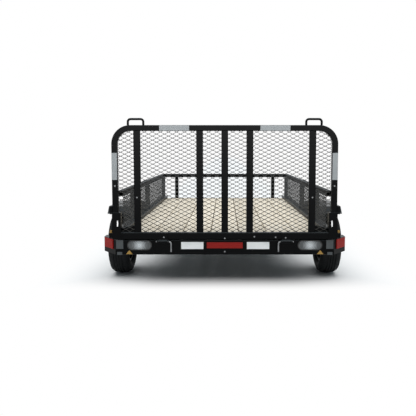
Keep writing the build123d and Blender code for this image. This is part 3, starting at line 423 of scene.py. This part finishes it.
def wood_finish(name):
    """Pale boards: fibres along Y, a shade for each board and painted shade on the underside."""
    material, tree, shader, place = start_material(name)
    grain = noise(tree, stretched(tree, place, GRAIN_STRETCH), 1.0, FIBRE_DETAIL, FIBRE_ROUGHNESS)
    board = combine(tree, "MULTIPLY_ADD", axis(tree, place, "X"), 1.0 / PLANK_PITCH, PLANK_COUNT / 2)
    shade = tree.nodes.new("ShaderNodeTexWhiteNoise")
    shade.noise_dimensions = "1D"
    tree.links.new(combine(tree, "FLOOR", board), shade.inputs["W"])
    normal = tree.nodes["Texture Coordinate"].outputs["Normal"]
    # Faces that look down are darkened: painted shade under the deck.
    shade_below = spread(tree, axis(tree, normal, "Z"), UNDERSIDE_SHADE, 1.0, *DOWNWARD)
    own = spread(tree, shade.outputs["Value"], *BOARD_SHADES)
    tone = tree.nodes.new("ShaderNodeHueSaturation")
    tree.links.new(combine(tree, "MULTIPLY", own, shade_below), tone.inputs["Value"])
    tree.links.new(ramp(tree, grain, FIBRES), tone.inputs["Color"])
    tree.links.new(tone.outputs["Color"], shader.inputs["Base Color"])
    shader.inputs["Roughness"].default_value = WOOD_ROUGH
    bump(tree, shader, grain, FIBRE_STRENGTH, FIBRE_RISE)
    return material


finishes["deck_wood"] = wood_finish("deck_wood")
print("boards", PLANK_COUNT, "each", round(PLANK_PITCH, 4), "m with its gap")

# %% [markdown]
# ## Dress the frame
# Every node of the CAD frame names a material slot, and a finish of the same name is ready for it. Naming
# each node here would repeat the record, so a loop reads the slots. Only three nodes want something else:
# the hinge pins are duller than other zinc, and the wall tubes shine less than the gate.

# %% Dress the frame
OWN_FINISH = {"hinge_pins": "dull_zinc", "wall_rails": "wall_black", "wall_posts": "wall_black"}

for part in frame["record"]["subparts"]:
    wanted = OWN_FINISH.get(part["node"], part["material_slot"])
    for place in frame["nodes"][part["node"]].material_slots:
        place.material = finishes[wanted]

# %% [markdown]
# ## Pieces of our own
# A piece that this lesson adds has to move with a body of the frame, such as the gate, and it may stand for
# a plainer CAD node. One helper does that for every piece. Meshes are built with bmesh, where faces are
# easy to make but may point inwards, so a second helper turns them outward before they are kept.


# %% Keep a finished piece
def add_piece(name, mesh, body, slot, stands_for=None, finish=None):
    """Puts a mesh in the scene as one finished piece that moves with a body of the frame."""
    mesh.name = name
    mesh.materials.clear()
    mesh.materials.append(finish or finishes[slot])
    piece = bpy.data.objects.new(name, mesh)
    bpy.context.collection.objects.link(piece)
    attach(piece, body)
    if stands_for:
        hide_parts(stands_for)
    print(name, len(mesh.polygons), "faces on", body)


def face_outward(built):
    """Turns all faces outward. A thin sheet can come out inside out, which its signed volume shows."""
    bmesh.ops.recalc_face_normals(built, faces=built.faces)
    if built.calc_volume(signed=True) < 0:
        bmesh.ops.reverse_faces(built, faces=built.faces)


def mesh_from(built, name):
    mesh = bpy.data.meshes.new(name)
    built.to_mesh(mesh)
    built.free()
    return mesh


def closed_mesh(built, name):
    face_outward(built)
    return mesh_from(built, name)


# %% [markdown]
# ## Expanded metal
# The gate and the side walls are filled with expanded metal: one sheet, slit and pulled until each slit
# opens to a diamond. It repeats, so Geometry Nodes lay it out. One cell is a knuckle with four half
# strands, a second grid of cells sits half a step over, and merging their touching ends leaves one
# continuous sheet, which is then cut to the outline of its panel.

# %% One cell
LONG_WAY = 53.6 * MM
SHORT_WAY = 26.7 * MM
KNUCKLE_LENGTH = 6.0 * MM
KNUCKLE_SHOULDER = KNUCKLE_LENGTH / 3
KNUCKLE_RATIO = 1.8
GATE_STRAND = 2.7 * MM
WALL_STRAND = 5.6 * MM
GATE_SHEET = 3.1 * MM
WALL_SHEET = 3.0 * MM


def diamond_cell(strand, sheet):
    """A knuckle with four half strands, open at the strand ends where the next cells join on."""
    arm = Vector((LONG_WAY / 4, SHORT_WAY / 4))
    across = Vector((-arm.y, arm.x)).normalized() * strand / 2
    quarter = [Vector((KNUCKLE_LENGTH, 0)), arm - across, arm + across,
               Vector((KNUCKLE_SHOULDER, KNUCKLE_RATIO * strand / 2))]
    upper = quarter + [Vector((-p.x, p.y)) for p in reversed(quarter[1:])]
    outline = upper + [Vector((-KNUCKLE_LENGTH, 0))] + [Vector((-p.x, -p.y)) for p in upper[1:]]
    cell = bmesh.new()
    front = [cell.verts.new((p.x, p.y, 0)) for p in outline]
    back = [cell.verts.new((p.x, p.y, sheet)) for p in outline]
    cell.faces.new(reversed(front))
    cell.faces.new(back)
    ends = [arm, Vector((-arm.x, arm.y)), -arm, Vector((arm.x, -arm.y))]
    near_end = strand / 4
    for first in range(len(outline)):
        second = (first + 1) % len(outline)
        middle = (outline[first] + outline[second]) / 2
        if min((middle - end).length for end in ends) > near_end:
            cell.faces.new((front[first], front[second], back[second], back[first]))
    return bpy.data.objects.new("diamond_cell", mesh_from(cell, "diamond_cell"))


gate_cell = diamond_cell(GATE_STRAND, GATE_SHEET)
wall_cell = diamond_cell(WALL_STRAND, WALL_SHEET)
print("cell corners", len(gate_cell.data.vertices))


# %% Start, fill and end a node tree
def start_tree(name, inputs):
    """A Geometry Nodes tree with named inputs and one output, and the sockets that the inputs arrive on."""
    tree = bpy.data.node_groups.new(name, "GeometryNodeTree")
    tree.interface.new_socket("Geometry", in_out="OUTPUT", socket_type="NodeSocketGeometry")
    for title, kind in inputs.items():
        tree.interface.new_socket(title, in_out="INPUT", socket_type=f"NodeSocket{kind}")
    return tree, tree.nodes.new("NodeGroupInput").outputs


def realized_copies(tree, points, shape, turn=None):
    """A real copy of a shape on every point."""
    laid = tree.nodes.new("GeometryNodeInstanceOnPoints")
    tree.links.new(points, laid.inputs["Points"])
    tree.links.new(shape, laid.inputs["Instance"])
    if turn:
        tree.links.new(turn, laid.inputs["Rotation"])
    real = tree.nodes.new("GeometryNodeRealizeInstances")
    tree.links.new(laid.outputs["Instances"], real.inputs["Geometry"])
    return real.outputs["Geometry"]


def end_tree(tree, geometry, finish):
    """Gives the geometry its material and sends it out of the tree."""
    dressed = tree.nodes.new("GeometryNodeSetMaterial")
    tree.links.new(geometry, dressed.inputs["Geometry"])
    tree.links.new(finish, dressed.inputs["Material"])
    tree.links.new(dressed.outputs["Geometry"], tree.nodes.new("NodeGroupOutput").inputs["Geometry"])


# %% The node tree that lays cells out
MERGE_REACH = GATE_STRAND / 20


def expanded_metal_tree():
    tree, given = start_tree("expanded_metal", {"Cell": "Object", "Columns": "Int", "Rows": "Int",
                                                "Long Way": "Float", "Short Way": "Float",
                                                "Finish": "Material"})
    grid = tree.nodes.new("GeometryNodeMeshGrid")
    half_step = tree.nodes.new("ShaderNodeCombineXYZ")
    for letter, count, pitch in (("X", "Columns", "Long Way"), ("Y", "Rows", "Short Way")):
        length = combine(tree, "MULTIPLY", given[count], given[pitch])
        tree.links.new(length, grid.inputs[f"Size {letter}"])
        tree.links.new(combine(tree, "ADD", given[count], 1.0), grid.inputs[f"Vertices {letter}"])
        tree.links.new(combine(tree, "MULTIPLY", given[pitch], 0.5), half_step.inputs[letter])
    moved = tree.nodes.new("GeometryNodeTransform")
    tree.links.new(grid.outputs["Mesh"], moved.inputs["Geometry"])
    tree.links.new(half_step.outputs["Vector"], moved.inputs["Translation"])
    places = tree.nodes.new("GeometryNodeJoinGeometry")
    tree.links.new(grid.outputs["Mesh"], places.inputs["Geometry"])
    tree.links.new(moved.outputs["Geometry"], places.inputs["Geometry"])
    source = tree.nodes.new("GeometryNodeObjectInfo")
    tree.links.new(given["Cell"], source.inputs["Object"])
    cells = realized_copies(tree, places.outputs["Geometry"], source.outputs["Geometry"])
    joined = tree.nodes.new("GeometryNodeMergeByDistance")
    joined.inputs["Distance"].default_value = MERGE_REACH
    tree.links.new(cells, joined.inputs["Geometry"])
    end_tree(tree, joined.outputs["Geometry"], given["Finish"])
    return tree


expanded_metal = expanded_metal_tree()
print("expanded-metal tree", len(expanded_metal.nodes), "nodes")


# %% Run a node tree
def evaluated(tree, values, base=None):
    """Runs a node tree on an empty mesh, or on a given one, and returns the plain mesh that it makes."""
    carrier = bpy.data.objects.new("carrier", base or bpy.data.meshes.new("carrier"))
    bpy.context.collection.objects.link(carrier)
    modifier = carrier.modifiers.new("nodes", "NODES")
    modifier.node_group = tree
    for socket in tree.interface.items_tree:
        if socket.in_out == "INPUT" and socket.name in values:
            modifier[socket.identifier] = values[socket.name]
    graph = bpy.context.evaluated_depsgraph_get()
    made = bpy.data.meshes.new_from_object(carrier.evaluated_get(graph))
    carrier.modifiers.remove(modifier)
    bpy.data.objects.remove(carrier)
    return made


# %% Cut a sheet to a panel
SPARE_CELLS = 2


def cut_panel(cell, width, height, corner, to_place):
    """A sheet of cells cut to a panel about the origin, upper corners clipped, then moved to its place."""
    values = {"Cell": cell, "Long Way": LONG_WAY, "Short Way": SHORT_WAY, "Finish": finishes["mesh_black"],
              "Columns": math.ceil(width / LONG_WAY) + SPARE_CELLS,
              "Rows": math.ceil(height / SHORT_WAY) + SPARE_CELLS}
    sheet = bmesh.new()
    sheet.from_mesh(evaluated(expanded_metal, values))
    cuts = [((width / 2, 0, 0), (1, 0, 0)), ((-width / 2, 0, 0), (-1, 0, 0)),
            ((0, height / 2, 0), (0, 1, 0)), ((0, -height / 2, 0), (0, -1, 0))]
    if corner:
        across = width / 2 - corner / 2
        up = height / 2 - corner / 2
        cuts += [((side * across, up, 0), (side, 1, 0)) for side in (-1, 1)]
    for point, outward in cuts:
        everything = sheet.verts[:] + sheet.edges[:] + sheet.faces[:]
        bmesh.ops.bisect_plane(sheet, geom=everything, plane_co=point, plane_no=outward, clear_outer=True)
    cut_edges = [edge for edge in sheet.edges if edge.is_boundary]
    bmesh.ops.holes_fill(sheet, edges=cut_edges, sides=0)
    sheet.transform(to_place)
    face_outward(sheet)
    return sheet


# %% The gate's panel
GATE_MESH_CORNER = 62.0 * MM

gate_low, gate_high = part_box("gate_mesh")
gate_middle = (gate_low + gate_high) / 2
gate_size = gate_high - gate_low
stand_up = Matrix.Rotation(math.pi / 2, 4, "X")
gate_place = Matrix.Translation((gate_middle.x, gate_high.y, gate_middle.z)) @ stand_up
gate_sheet = cut_panel(gate_cell, gate_size.x, gate_size.z, GATE_MESH_CORNER, gate_place)
add_piece("expanded_gate", mesh_from(gate_sheet, "expanded_gate"), "gate", "mesh_black", "gate_mesh",
          gate_mesh_finish)

# %% The walls' panels
wall_low, wall_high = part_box("wall_mesh")
wall_middle = (wall_low + wall_high) / 2
wall_size = wall_high - wall_low
along_side = Matrix.Rotation(math.pi / 2, 4, "Z") @ stand_up
walls = bmesh.new()
for inner in (wall_low.x, wall_high.x - WALL_SHEET):
    wall_place = Matrix.Translation((inner, wall_middle.y, wall_middle.z)) @ along_side
    sheet = cut_panel(wall_cell, wall_size.y, wall_size.z, 0, wall_place)
    side_mesh = mesh_from(sheet, "wall_side")
    walls.from_mesh(side_mesh)
    bpy.data.meshes.remove(side_mesh)
# The walls' grey finish is a painted sheen for the light their strands catch at a grazing angle.
add_piece("expanded_walls", mesh_from(walls, "expanded_walls"), "chassis", "mesh_black", "wall_mesh")

# %% [markdown]
# ## Tyres
# A trailer tyre is mostly a turned form, so its section is swept round the wheel's axis. The section
# follows the CAD tyre and adds what makes it a tyre: grooves that run round the tread, notches in its
# shoulders, and two raised lines on the sidewall, one over the belts and one beside the rim. A bump could
# draw the grooves, but from behind they shape the outline that stands on the road.

# %% The tyre's section
GROOVE_COUNT = 4
GROOVE_WIDTH = 8.0 * MM
GROOVE_DEPTH = 8.0 * MM
RIB_ROUND = 1.2 * MM
BEAD_RADIUS = 153.0 * MM
BEAD_HALF = 56.0 * MM
LIP_RADIUS = 165.0 * MM
TREAD_HALF = 54.0 * MM
CROWN = 7.0 * MM
SHOULDER_DROP = 22.0 * MM
SHOULDER_ANGLE = 62.0
BELLY_STEPS = 28
LINE_STEPS = (5, 6, 22, 23)
LINE_RISE = 1.5 * MM
NOTCH_REACH = 12.0 * MM


def half_section(outer, belly):
    """Half of the tyre's section from mid tread to bead, as (across, radius), and its notched points."""
    def tread(across, depth=0.0):
        return across, outer - CROWN * (across / TREAD_HALF) ** 2 - depth

    points = [tread(0.0)]
    spacing = 2 * TREAD_HALF / (GROOVE_COUNT + 1)
    for number in range(GROOVE_COUNT // 2):
        middle = spacing * (number + 0.5)
        near = middle - GROOVE_WIDTH / 2
        far = middle + GROOVE_WIDTH / 2
        points += [tread(near - RIB_ROUND), tread(near, RIB_ROUND), tread(near, GROOVE_DEPTH),
                   tread(far, GROOVE_DEPTH), tread(far, RIB_ROUND), tread(far + RIB_ROUND)]
    points += [tread(TREAD_HALF - NOTCH_REACH), tread(TREAD_HALF, RIB_ROUND)]
    notched = points[-1:]
    start = math.radians(SHOULDER_ANGLE)
    shoulder = outer - SHOULDER_DROP / 2
    belly_radius = (shoulder + LIP_RADIUS) / 2
    reach = (shoulder - LIP_RADIUS) / 2 / math.sin(start)
    centre = belly - reach
    for step in range(BELLY_STEPS + 1):
        angle = start - 2 * start * step / BELLY_STEPS
        bulge = reach + LINE_RISE if step in LINE_STEPS else reach
        points.append((centre + bulge * math.cos(angle), belly_radius + bulge * math.sin(angle)))
    points += [(BEAD_HALF, LIP_RADIUS), (BEAD_HALF, BEAD_RADIUS)]
    return points, notched


# %% Turn the tyres
TYRE_STEPS = 300
NOTCH_EVERY = 5
NOTCH_DEPTH = 4.0 * MM
TREAD_CREASE = math.radians(35)


def turned(section, notched, low, high):
    """Sweeps a closed section round the middle of a box, about X, and dips its notched points."""
    centre = (low + high) / 2
    built = bmesh.new()
    rings = []
    for step in range(TYRE_STEPS):
        angle = 2 * math.pi * step / TYRE_STEPS
        ring = []
        for across, radius in section:
            dips = step % NOTCH_EVERY == 0 and (abs(across), radius) in notched
            reach = radius - NOTCH_DEPTH if dips else radius
            ring.append(built.verts.new((centre.x + across, centre.y + reach * math.cos(angle),
                                         centre.z + reach * math.sin(angle))))
        rings.append(ring)
    for step in range(TYRE_STEPS):
        near = rings[step]
        far = rings[(step + 1) % TYRE_STEPS]
        for first in range(len(section)):
            second = (first + 1) % len(section)
            built.faces.new((near[first], near[second], far[second], far[first]))
    return built


for side in ("left", "right"):
    low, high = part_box(f"tyre_{side}")
    half, notched = half_section((high.z - low.z) / 2, (high.x - low.x) / 2)
    section = half + [(-across, radius) for across, radius in reversed(half[1:])]
    tyre = closed_mesh(turned(section, notched, low, high), f"tread_{side}")
    tyre.shade_smooth()
    tyre.set_sharp_from_angle(angle=TREAD_CREASE)
    add_piece(f"tread_{side}", tyre, f"wheel_{side}", "tyre_rubber", f"tyre_{side}")

# %% [markdown]
# ## Reflective tape
# Four strips of silver tape mark the gate. The tape is prismatic: small cells with darker joints, sealed
# under clear film. It could be a patch of the tube's own finish, but as a thin sheet it has a real edge.
# A Voronoi texture that is only a little random draws the cells.


# %% Thin sheets
def flat_piece(built, outline, rear, thick):
    """Adds a thin sheet, with an (x, z) outline, on a rear face."""
    back = [built.verts.new((x, rear - thick, z)) for x, z in outline]
    front = [built.verts.new((x, rear, z)) for x, z in outline]
    built.faces.new(back)
    built.faces.new(reversed(front))
    for first in range(len(outline)):
        second = (first + 1) % len(outline)
        built.faces.new((back[first], front[first], front[second], back[second]))


def rectangle(x_range, z_range):
    return [(x_range[0], z_range[0]), (x_range[1], z_range[0]), (x_range[1], z_range[1]),
            (x_range[0], z_range[1])]


# %% Tape finish
TAPE_CELLS = 240.0
CELL_RANDOMNESS = 0.25
TAPE_JOINTS = ((0.28, 0.30, 0.31), (0.40, 0.42, 0.43))
JOINT_STOPS = (0.02, 0.12)
FILM_CLOUDS = 30.0
FILM_ROUGH = (0.2, 0.35)
FILM_SPECULAR = 0.25


def tape_finish(name):
    """Prismatic tape: small cells with darker joints, sealed under clear film."""
    material, tree, shader, place = start_material(name)
    cells = tree.nodes.new("ShaderNodeTexVoronoi")
    cells.feature = "DISTANCE_TO_EDGE"
    cells.inputs["Scale"].default_value = TAPE_CELLS
    cells.inputs["Randomness"].default_value = CELL_RANDOMNESS
    tree.links.new(place, cells.inputs["Vector"])
    colour = ramp(tree, cells.outputs["Distance"], TAPE_JOINTS, JOINT_STOPS)
    tree.links.new(colour, shader.inputs["Base Color"])
    tree.links.new(spread(tree, noise(tree, place, FILM_CLOUDS), *FILM_ROUGH), shader.inputs["Roughness"])
    shader.inputs["Specular IOR Level"].default_value = FILM_SPECULAR
    return material


reflective = tape_finish("reflective_tape")
print("tape cells", round(1 / TAPE_CELLS / MM, 1), "mm")

# %% Tape on the gate
TUBE = 38.0 * MM
TAPE_THICK = 0.6 * MM
TAPE_MARGIN = 1.5 * MM
TOP_TAPE_X = (0.235, 0.432)
LEG_TAPE_Z = (0.861, 1.040)

frame_low, frame_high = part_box("gate_frame")
tapes = bmesh.new()
for side in (-1, 1):
    top_tape = rectangle([side * x for x in TOP_TAPE_X],
                         (frame_high.z - TUBE + TAPE_MARGIN, frame_high.z - TAPE_MARGIN))
    leg_tape = rectangle((side * (frame_high.x - TUBE + TAPE_MARGIN), side * (frame_high.x - TAPE_MARGIN)),
                         LEG_TAPE_Z)
    for outline in (top_tape, leg_tape):
        flat_piece(tapes, outline, frame_low.y, TAPE_THICK)
add_piece("tapes", closed_mesh(tapes, "tapes"), "gate", "lens_clear", finish=reflective)

# %% [markdown]
# ## Plates and triangles
# Two bare white plates and two small amber triangles sit on the rear beam. They are thin sheet too, so each
# is an outline pushed out by its thickness, which catches the light at its edge as a decal would not.

# %% Blank plates
PLATE_THICK = 0.8 * MM
PLATES_X = ((-0.2935, -0.1435), (0.149, 0.300))
PLATES_Z = (0.394, 0.442)
WHITES = ((0.86, 0.87, 0.87), (0.92, 0.92, 0.92))
WHITE_ROUGH = (0.35, 0.5)
WHITE_PATCHES = 20.0

beam_low, beam_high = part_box("rear_beam")
white_paint = worn_finish("white_plate", WHITES, WHITE_ROUGH, patch_scale=WHITE_PATCHES)
plates = bmesh.new()
for x_range in PLATES_X:
    flat_piece(plates, rectangle(x_range, PLATES_Z), beam_low.y, PLATE_THICK)
add_piece("blank_plates", closed_mesh(plates, "blank_plates"), "chassis", "cap_grey", finish=white_paint)

# %% Amber triangles
TRIANGLE_X = (0.620, 0.665)
TRIANGLE_Z = (0.360, 0.387)

panel_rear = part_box("lamp_panels")[0].y
triangles = bmesh.new()
for side in (-1, 1):
    near, far = sorted(side * x for x in TRIANGLE_X)
    outline = [(near, TRIANGLE_Z[0]), (far, TRIANGLE_Z[0]), ((near + far) / 2, TRIANGLE_Z[1])]
    flat_piece(triangles, outline, panel_rear, PLATE_THICK)
add_piece("amber_triangles", closed_mesh(triangles, "amber_triangles"), "chassis", "lens_amber")

# %% [markdown]
# ## Corner plates
# Just inside the gate, a black plate stands on the rear beam at each end of the deck. Its upper edge falls
# toward the side. It is flat sheet, so four corners and a thickness are enough.

# %% Corner plates
CORNER_PLATE_X = (0.575, 0.722)
CORNER_PLATE_TOP = (0.566, 0.520)
CORNER_PLATE_THICK = 4.0 * MM

corner_sheets = bmesh.new()
for side in (-1, 1):
    outline = [(side * CORNER_PLATE_X[0], beam_high.z), (side * CORNER_PLATE_X[1], beam_high.z),
               (side * CORNER_PLATE_X[1], CORNER_PLATE_TOP[1]), (side * CORNER_PLATE_X[0], CORNER_PLATE_TOP[0])]
    flat_piece(corner_sheets, outline, beam_high.y, CORNER_PLATE_THICK)
add_piece("corner_gussets", closed_mesh(corner_sheets, "corner_gussets"), "chassis", "frame_black")

# %% [markdown]
# ## Bolts and screws
# Hexagon bolts hold the gate's fittings and screws hold every board to the cross-members below. They could
# be copied in a loop, but one node tree does both kinds: it takes bare points and sets a short prism on
# each, turned to face the way it is told.


# %% The node tree for fasteners
def fastener_tree():
    tree, given = start_tree("fasteners", {"Points": "Geometry", "Sides": "Int", "Radius": "Float",
                                           "Height": "Float", "Turn": "Vector", "Finish": "Material"})
    head = tree.nodes.new("GeometryNodeMeshCylinder")
    tree.links.new(given["Sides"], head.inputs["Vertices"])
    tree.links.new(given["Radius"], head.inputs["Radius"])
    tree.links.new(given["Height"], head.inputs["Depth"])
    heads = realized_copies(tree, given["Points"], head.outputs["Mesh"], given["Turn"])
    end_tree(tree, heads, given["Finish"])
    return tree


fasteners = fastener_tree()
print("fastener tree", len(fasteners.nodes), "nodes")


def set_fasteners(name, places, head, body, slot, finish):
    points = bpy.data.meshes.new("points")
    points.from_pydata(places, [], [])
    values = {**head, "Finish": finish}
    add_piece(name, evaluated(fasteners, values, points), body, slot, finish=finish)


# %% Bolts on the gate and the beam
FACING_BACK = (math.pi / 2, 0.0, 0.0)
HEX_HEAD = {"Sides": 6, "Radius": 5.5 * MM, "Height": 5.0 * MM, "Turn": FACING_BACK}
RAIL_BOLTS = ((0.0, 0.470), (0.198, 0.481), (0.340, 0.477))
LEG_BOLTS = ((-0.729, 0.821), (0.729, 0.821))
UPRIGHT_BOLTS = ((-0.586, 0.743), (0.586, 0.743))
LEAF_BOLTS = ((-0.407, 0.478), (0.407, 0.475))
LEAF = 6.0 * MM
BEAM_BOLT = (0.0, 0.377)

upright_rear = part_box("gate_uprights")[0].y
gate_bolts = [(x, frame_low.y, z) for x, z in RAIL_BOLTS + LEG_BOLTS]
gate_bolts += [(x, upright_rear, z) for x, z in UPRIGHT_BOLTS]
gate_bolts += [(x, frame_low.y - LEAF, z) for x, z in LEAF_BOLTS]
beam_bolts = [(BEAM_BOLT[0], beam_low.y, BEAM_BOLT[1])]
for name, places, body in (("gate_bolts", gate_bolts, "gate"), ("beam_bolt", beam_bolts, "chassis")):
    set_fasteners(name, places, HEX_HEAD, body, "zinc_plate", finishes["dull_zinc"])

# %% Screws in the boards
FACING_UP = (0.0, 0.0, 0.0)
SCREW_HEAD = {"Sides": 12, "Radius": 4.5 * MM, "Height": 0.6 * MM, "Turn": FACING_UP}
SCREW_INSET = 45.0 * MM
SCREW_ROWS = 9

first_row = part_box("crossmembers")[0].y + TUBE / 2
row_step = (deck_high.y - TUBE / 2 - first_row) / (SCREW_ROWS - 1)
screws = []
for row in range(SCREW_ROWS):
    for board in range(PLANK_COUNT):
        middle = deck_low.x + PLANK_PITCH * (board + 0.5)
        for side in (-1, 1):
            screws.append((middle + side * SCREW_INSET, first_row + row * row_step, deck_high.z))
set_fasteners("deck_screws", screws, SCREW_HEAD, "chassis", "axle_black", finishes["axle_black"])

# %% [markdown]
# ## Latch pins
# A bright zinc pin shows in the slot of each sleeve at the foot of the gate. Only its face shows, so a short
# slanted bar on the gate's leg, as thin sheet, stands for the whole pin.

# %% Latch pins
PIN_X = 0.716
PIN_Z = (0.549, 0.591)
PIN_WIDTH = 7.5 * MM
PIN_LEAN = 2.0 * MM
PIN_THICK = 2.5 * MM

pin_foot = PIN_X + PIN_LEAN / 2
pin_head = PIN_X - PIN_LEAN / 2
pin_outline = [(pin_foot - PIN_WIDTH / 2, PIN_Z[0]), (pin_foot + PIN_WIDTH / 2, PIN_Z[0]),
               (pin_head + PIN_WIDTH / 2, PIN_Z[1]), (pin_head - PIN_WIDTH / 2, PIN_Z[1])]
pins = bmesh.new()
for side in (-1, 1):
    flat_piece(pins, [(side * x, z) for x, z in pin_outline], frame_low.y, PIN_THICK)
add_piece("latch_pins", closed_mesh(pins, "latch_pins"), "gate", "zinc_plate",
          finish=finishes["bright_zinc"])

# %% [markdown]
# ## Floor
# The photograph is a cut-out on white with a soft shadow. More light would whiten the floor but wash out
# the trailer, so the floor keeps a plain pale colour where the shadow lies, and blends to white toward the
# camera and to both sides. The blend is only for rays that see the background: from the camera, and from
# shiny or clear surfaces, so that metal and lenses mirror the same white.


# %% What sees the background
def background_rays(tree):
    """One for a ray from the camera or a shiny or clear surface, zero for the light on matt surfaces."""
    rays = tree.nodes.new("ShaderNodeLightPath").outputs
    mirrored = combine(tree, "MAXIMUM", rays["Is Camera Ray"], rays["Is Glossy Ray"])
    return combine(tree, "MAXIMUM", mirrored, rays["Is Transmission Ray"])


# %% Floor
FLOOR_HALF = 60.0
PAPER = ((0.93, 0.93, 0.93), (0.95, 0.95, 0.95))
PAPER_CLOUDS = 0.5
PAPER_ROUGH = 0.9
PAPER_SPECULAR = 0.0
SHADOW_START = beam_low.y + 0.36
SHADOW_FULL = beam_low.y + 0.82
SIDE_START = 1.0
SIDE_FULL = 1.6


def floor_finish(name):
    """Pale floor with the shadow under the trailer, plain white toward the camera and to the sides."""
    material, tree, shader, place = start_material(name)
    tree.links.new(ramp(tree, noise(tree, place, PAPER_CLOUDS), PAPER), shader.inputs["Base Color"])
    shader.inputs["Roughness"].default_value = PAPER_ROUGH
    shader.inputs["Specular IOR Level"].default_value = PAPER_SPECULAR
    behind = spread(tree, axis(tree, place, "Y"), 1.0, 0.0, SHADOW_START, SHADOW_FULL, smooth=True)
    aside = combine(tree, "ABSOLUTE", axis(tree, place, "X"))
    beside = spread(tree, aside, 0.0, 1.0, SIDE_START, SIDE_FULL, smooth=True)
    white = combine(tree, "MAXIMUM", behind, beside)
    shown = tree.nodes.new("ShaderNodeMixShader")
    tree.links.new(combine(tree, "MULTIPLY", background_rays(tree), white), shown.inputs["Fac"])
    tree.links.new(shader.outputs["BSDF"], shown.inputs[1])
    tree.links.new(tree.nodes.new("ShaderNodeEmission").outputs["Emission"], shown.inputs[2])
    tree.links.new(shown.outputs["Shader"], tree.nodes["Material Output"].inputs["Surface"])
    return material


ground = bmesh.new()
bmesh.ops.create_grid(ground, x_segments=1, y_segments=1, size=FLOOR_HALF)
floor_mesh = mesh_from(ground, "floor")
floor_mesh.materials.append(floor_finish("floor_white"))
floor = bpy.data.objects.new("floor", floor_mesh)
bpy.context.collection.objects.link(floor)
print("floor", 2 * FLOOR_HALF, "m wide, white behind Y", round(SHADOW_START, 3))

# %% [markdown]
# ## Light
# The light in the photograph is broad and comes from above. One wide sun gives the soft shadow. The sky is
# full white for rays that see the background and lights matt surfaces at less than a third of that, with a
# cool tint. A large softbox behind the gate puts a soft sheen on its paint and doesn't light matt surfaces.

# %% Sky
SKY_FILL = 0.3
SKY_TINT = (0.82, 0.94, 1.0)
WHITE = (1.0, 1.0, 1.0)
WHOLE_RANGE = (0.0, 1.0)

world = bpy.data.worlds.new("studio")
world.use_nodes = True
bpy.context.scene.world = world
sky = world.node_tree
background = sky.nodes["Background"].inputs
seen = background_rays(sky)
sky.links.new(spread(sky, seen, SKY_FILL, 1.0), background["Strength"])
sky.links.new(ramp(sky, seen, (SKY_TINT, WHITE), WHOLE_RANGE), background["Color"])
print("sky lights matt surfaces at", SKY_FILL)

# %% Sun and softbox
SUN_STRENGTH = 2.5
SUN_SPREAD = math.radians(80)
BOX_WIDTH = 6.0
BOX_HEIGHT = 2.2
BOX_BACK = 6.0
BOX_MIDDLE = 1.9
BOX_POWER = 240.0
BOX_TILT = math.radians(8)

sun_data = bpy.data.lights.new("overhead", "SUN")
sun_data.energy = SUN_STRENGTH
sun_data.angle = SUN_SPREAD
sun = bpy.data.objects.new("overhead", sun_data)
bpy.context.collection.objects.link(sun)

box_data = bpy.data.lights.new("softbox", "AREA")
box_data.shape = "RECTANGLE"
box_data.size = BOX_WIDTH
box_data.size_y = BOX_HEIGHT
box_data.energy = BOX_POWER
softbox = bpy.data.objects.new("softbox", box_data)
softbox.location = (0.0, frame_low.y - BOX_BACK, BOX_MIDDLE)
softbox.rotation_euler = (math.pi / 2 - BOX_TILT, 0.0, 0.0)
softbox.visible_diffuse = False
bpy.context.collection.objects.link(softbox)
print("sun", SUN_STRENGTH, "and a softbox of", BOX_POWER, "W")

# %% [markdown]
# ## Camera
# The photograph was taken from straight behind, at about the height of the gate's upper half, looking down a
# little. Lens and distance together set how much smaller the front wall looks than the gate. A small shift
# then moves the picture to the photograph's framing, which turning the camera would slant.

# %% Camera
LENS = 42.4
SENSOR = 36.0
CAMERA_HEIGHT = 1.06
CAMERA_BACK = 3.245
TILT_DOWN = math.radians(4.5)
SHIFT_X = -0.0403
SHIFT_Y = -0.047

camera_data = bpy.data.cameras.new("camera")
camera_data.lens = LENS
camera_data.sensor_width = SENSOR
camera_data.shift_x = SHIFT_X
camera_data.shift_y = SHIFT_Y
camera_data.clip_end = 4 * FLOOR_HALF
camera = bpy.data.objects.new("camera", camera_data)
camera.location = (0.0, frame_low.y - CAMERA_BACK, CAMERA_HEIGHT)
camera.rotation_euler = (math.pi / 2 - TILT_DOWN, 0.0, 0.0)
bpy.context.collection.objects.link(camera)

scene = bpy.context.scene
scene.camera = camera
scene.view_settings.view_transform = "Standard"
print("camera", CAMERA_BACK, "m behind the gate")
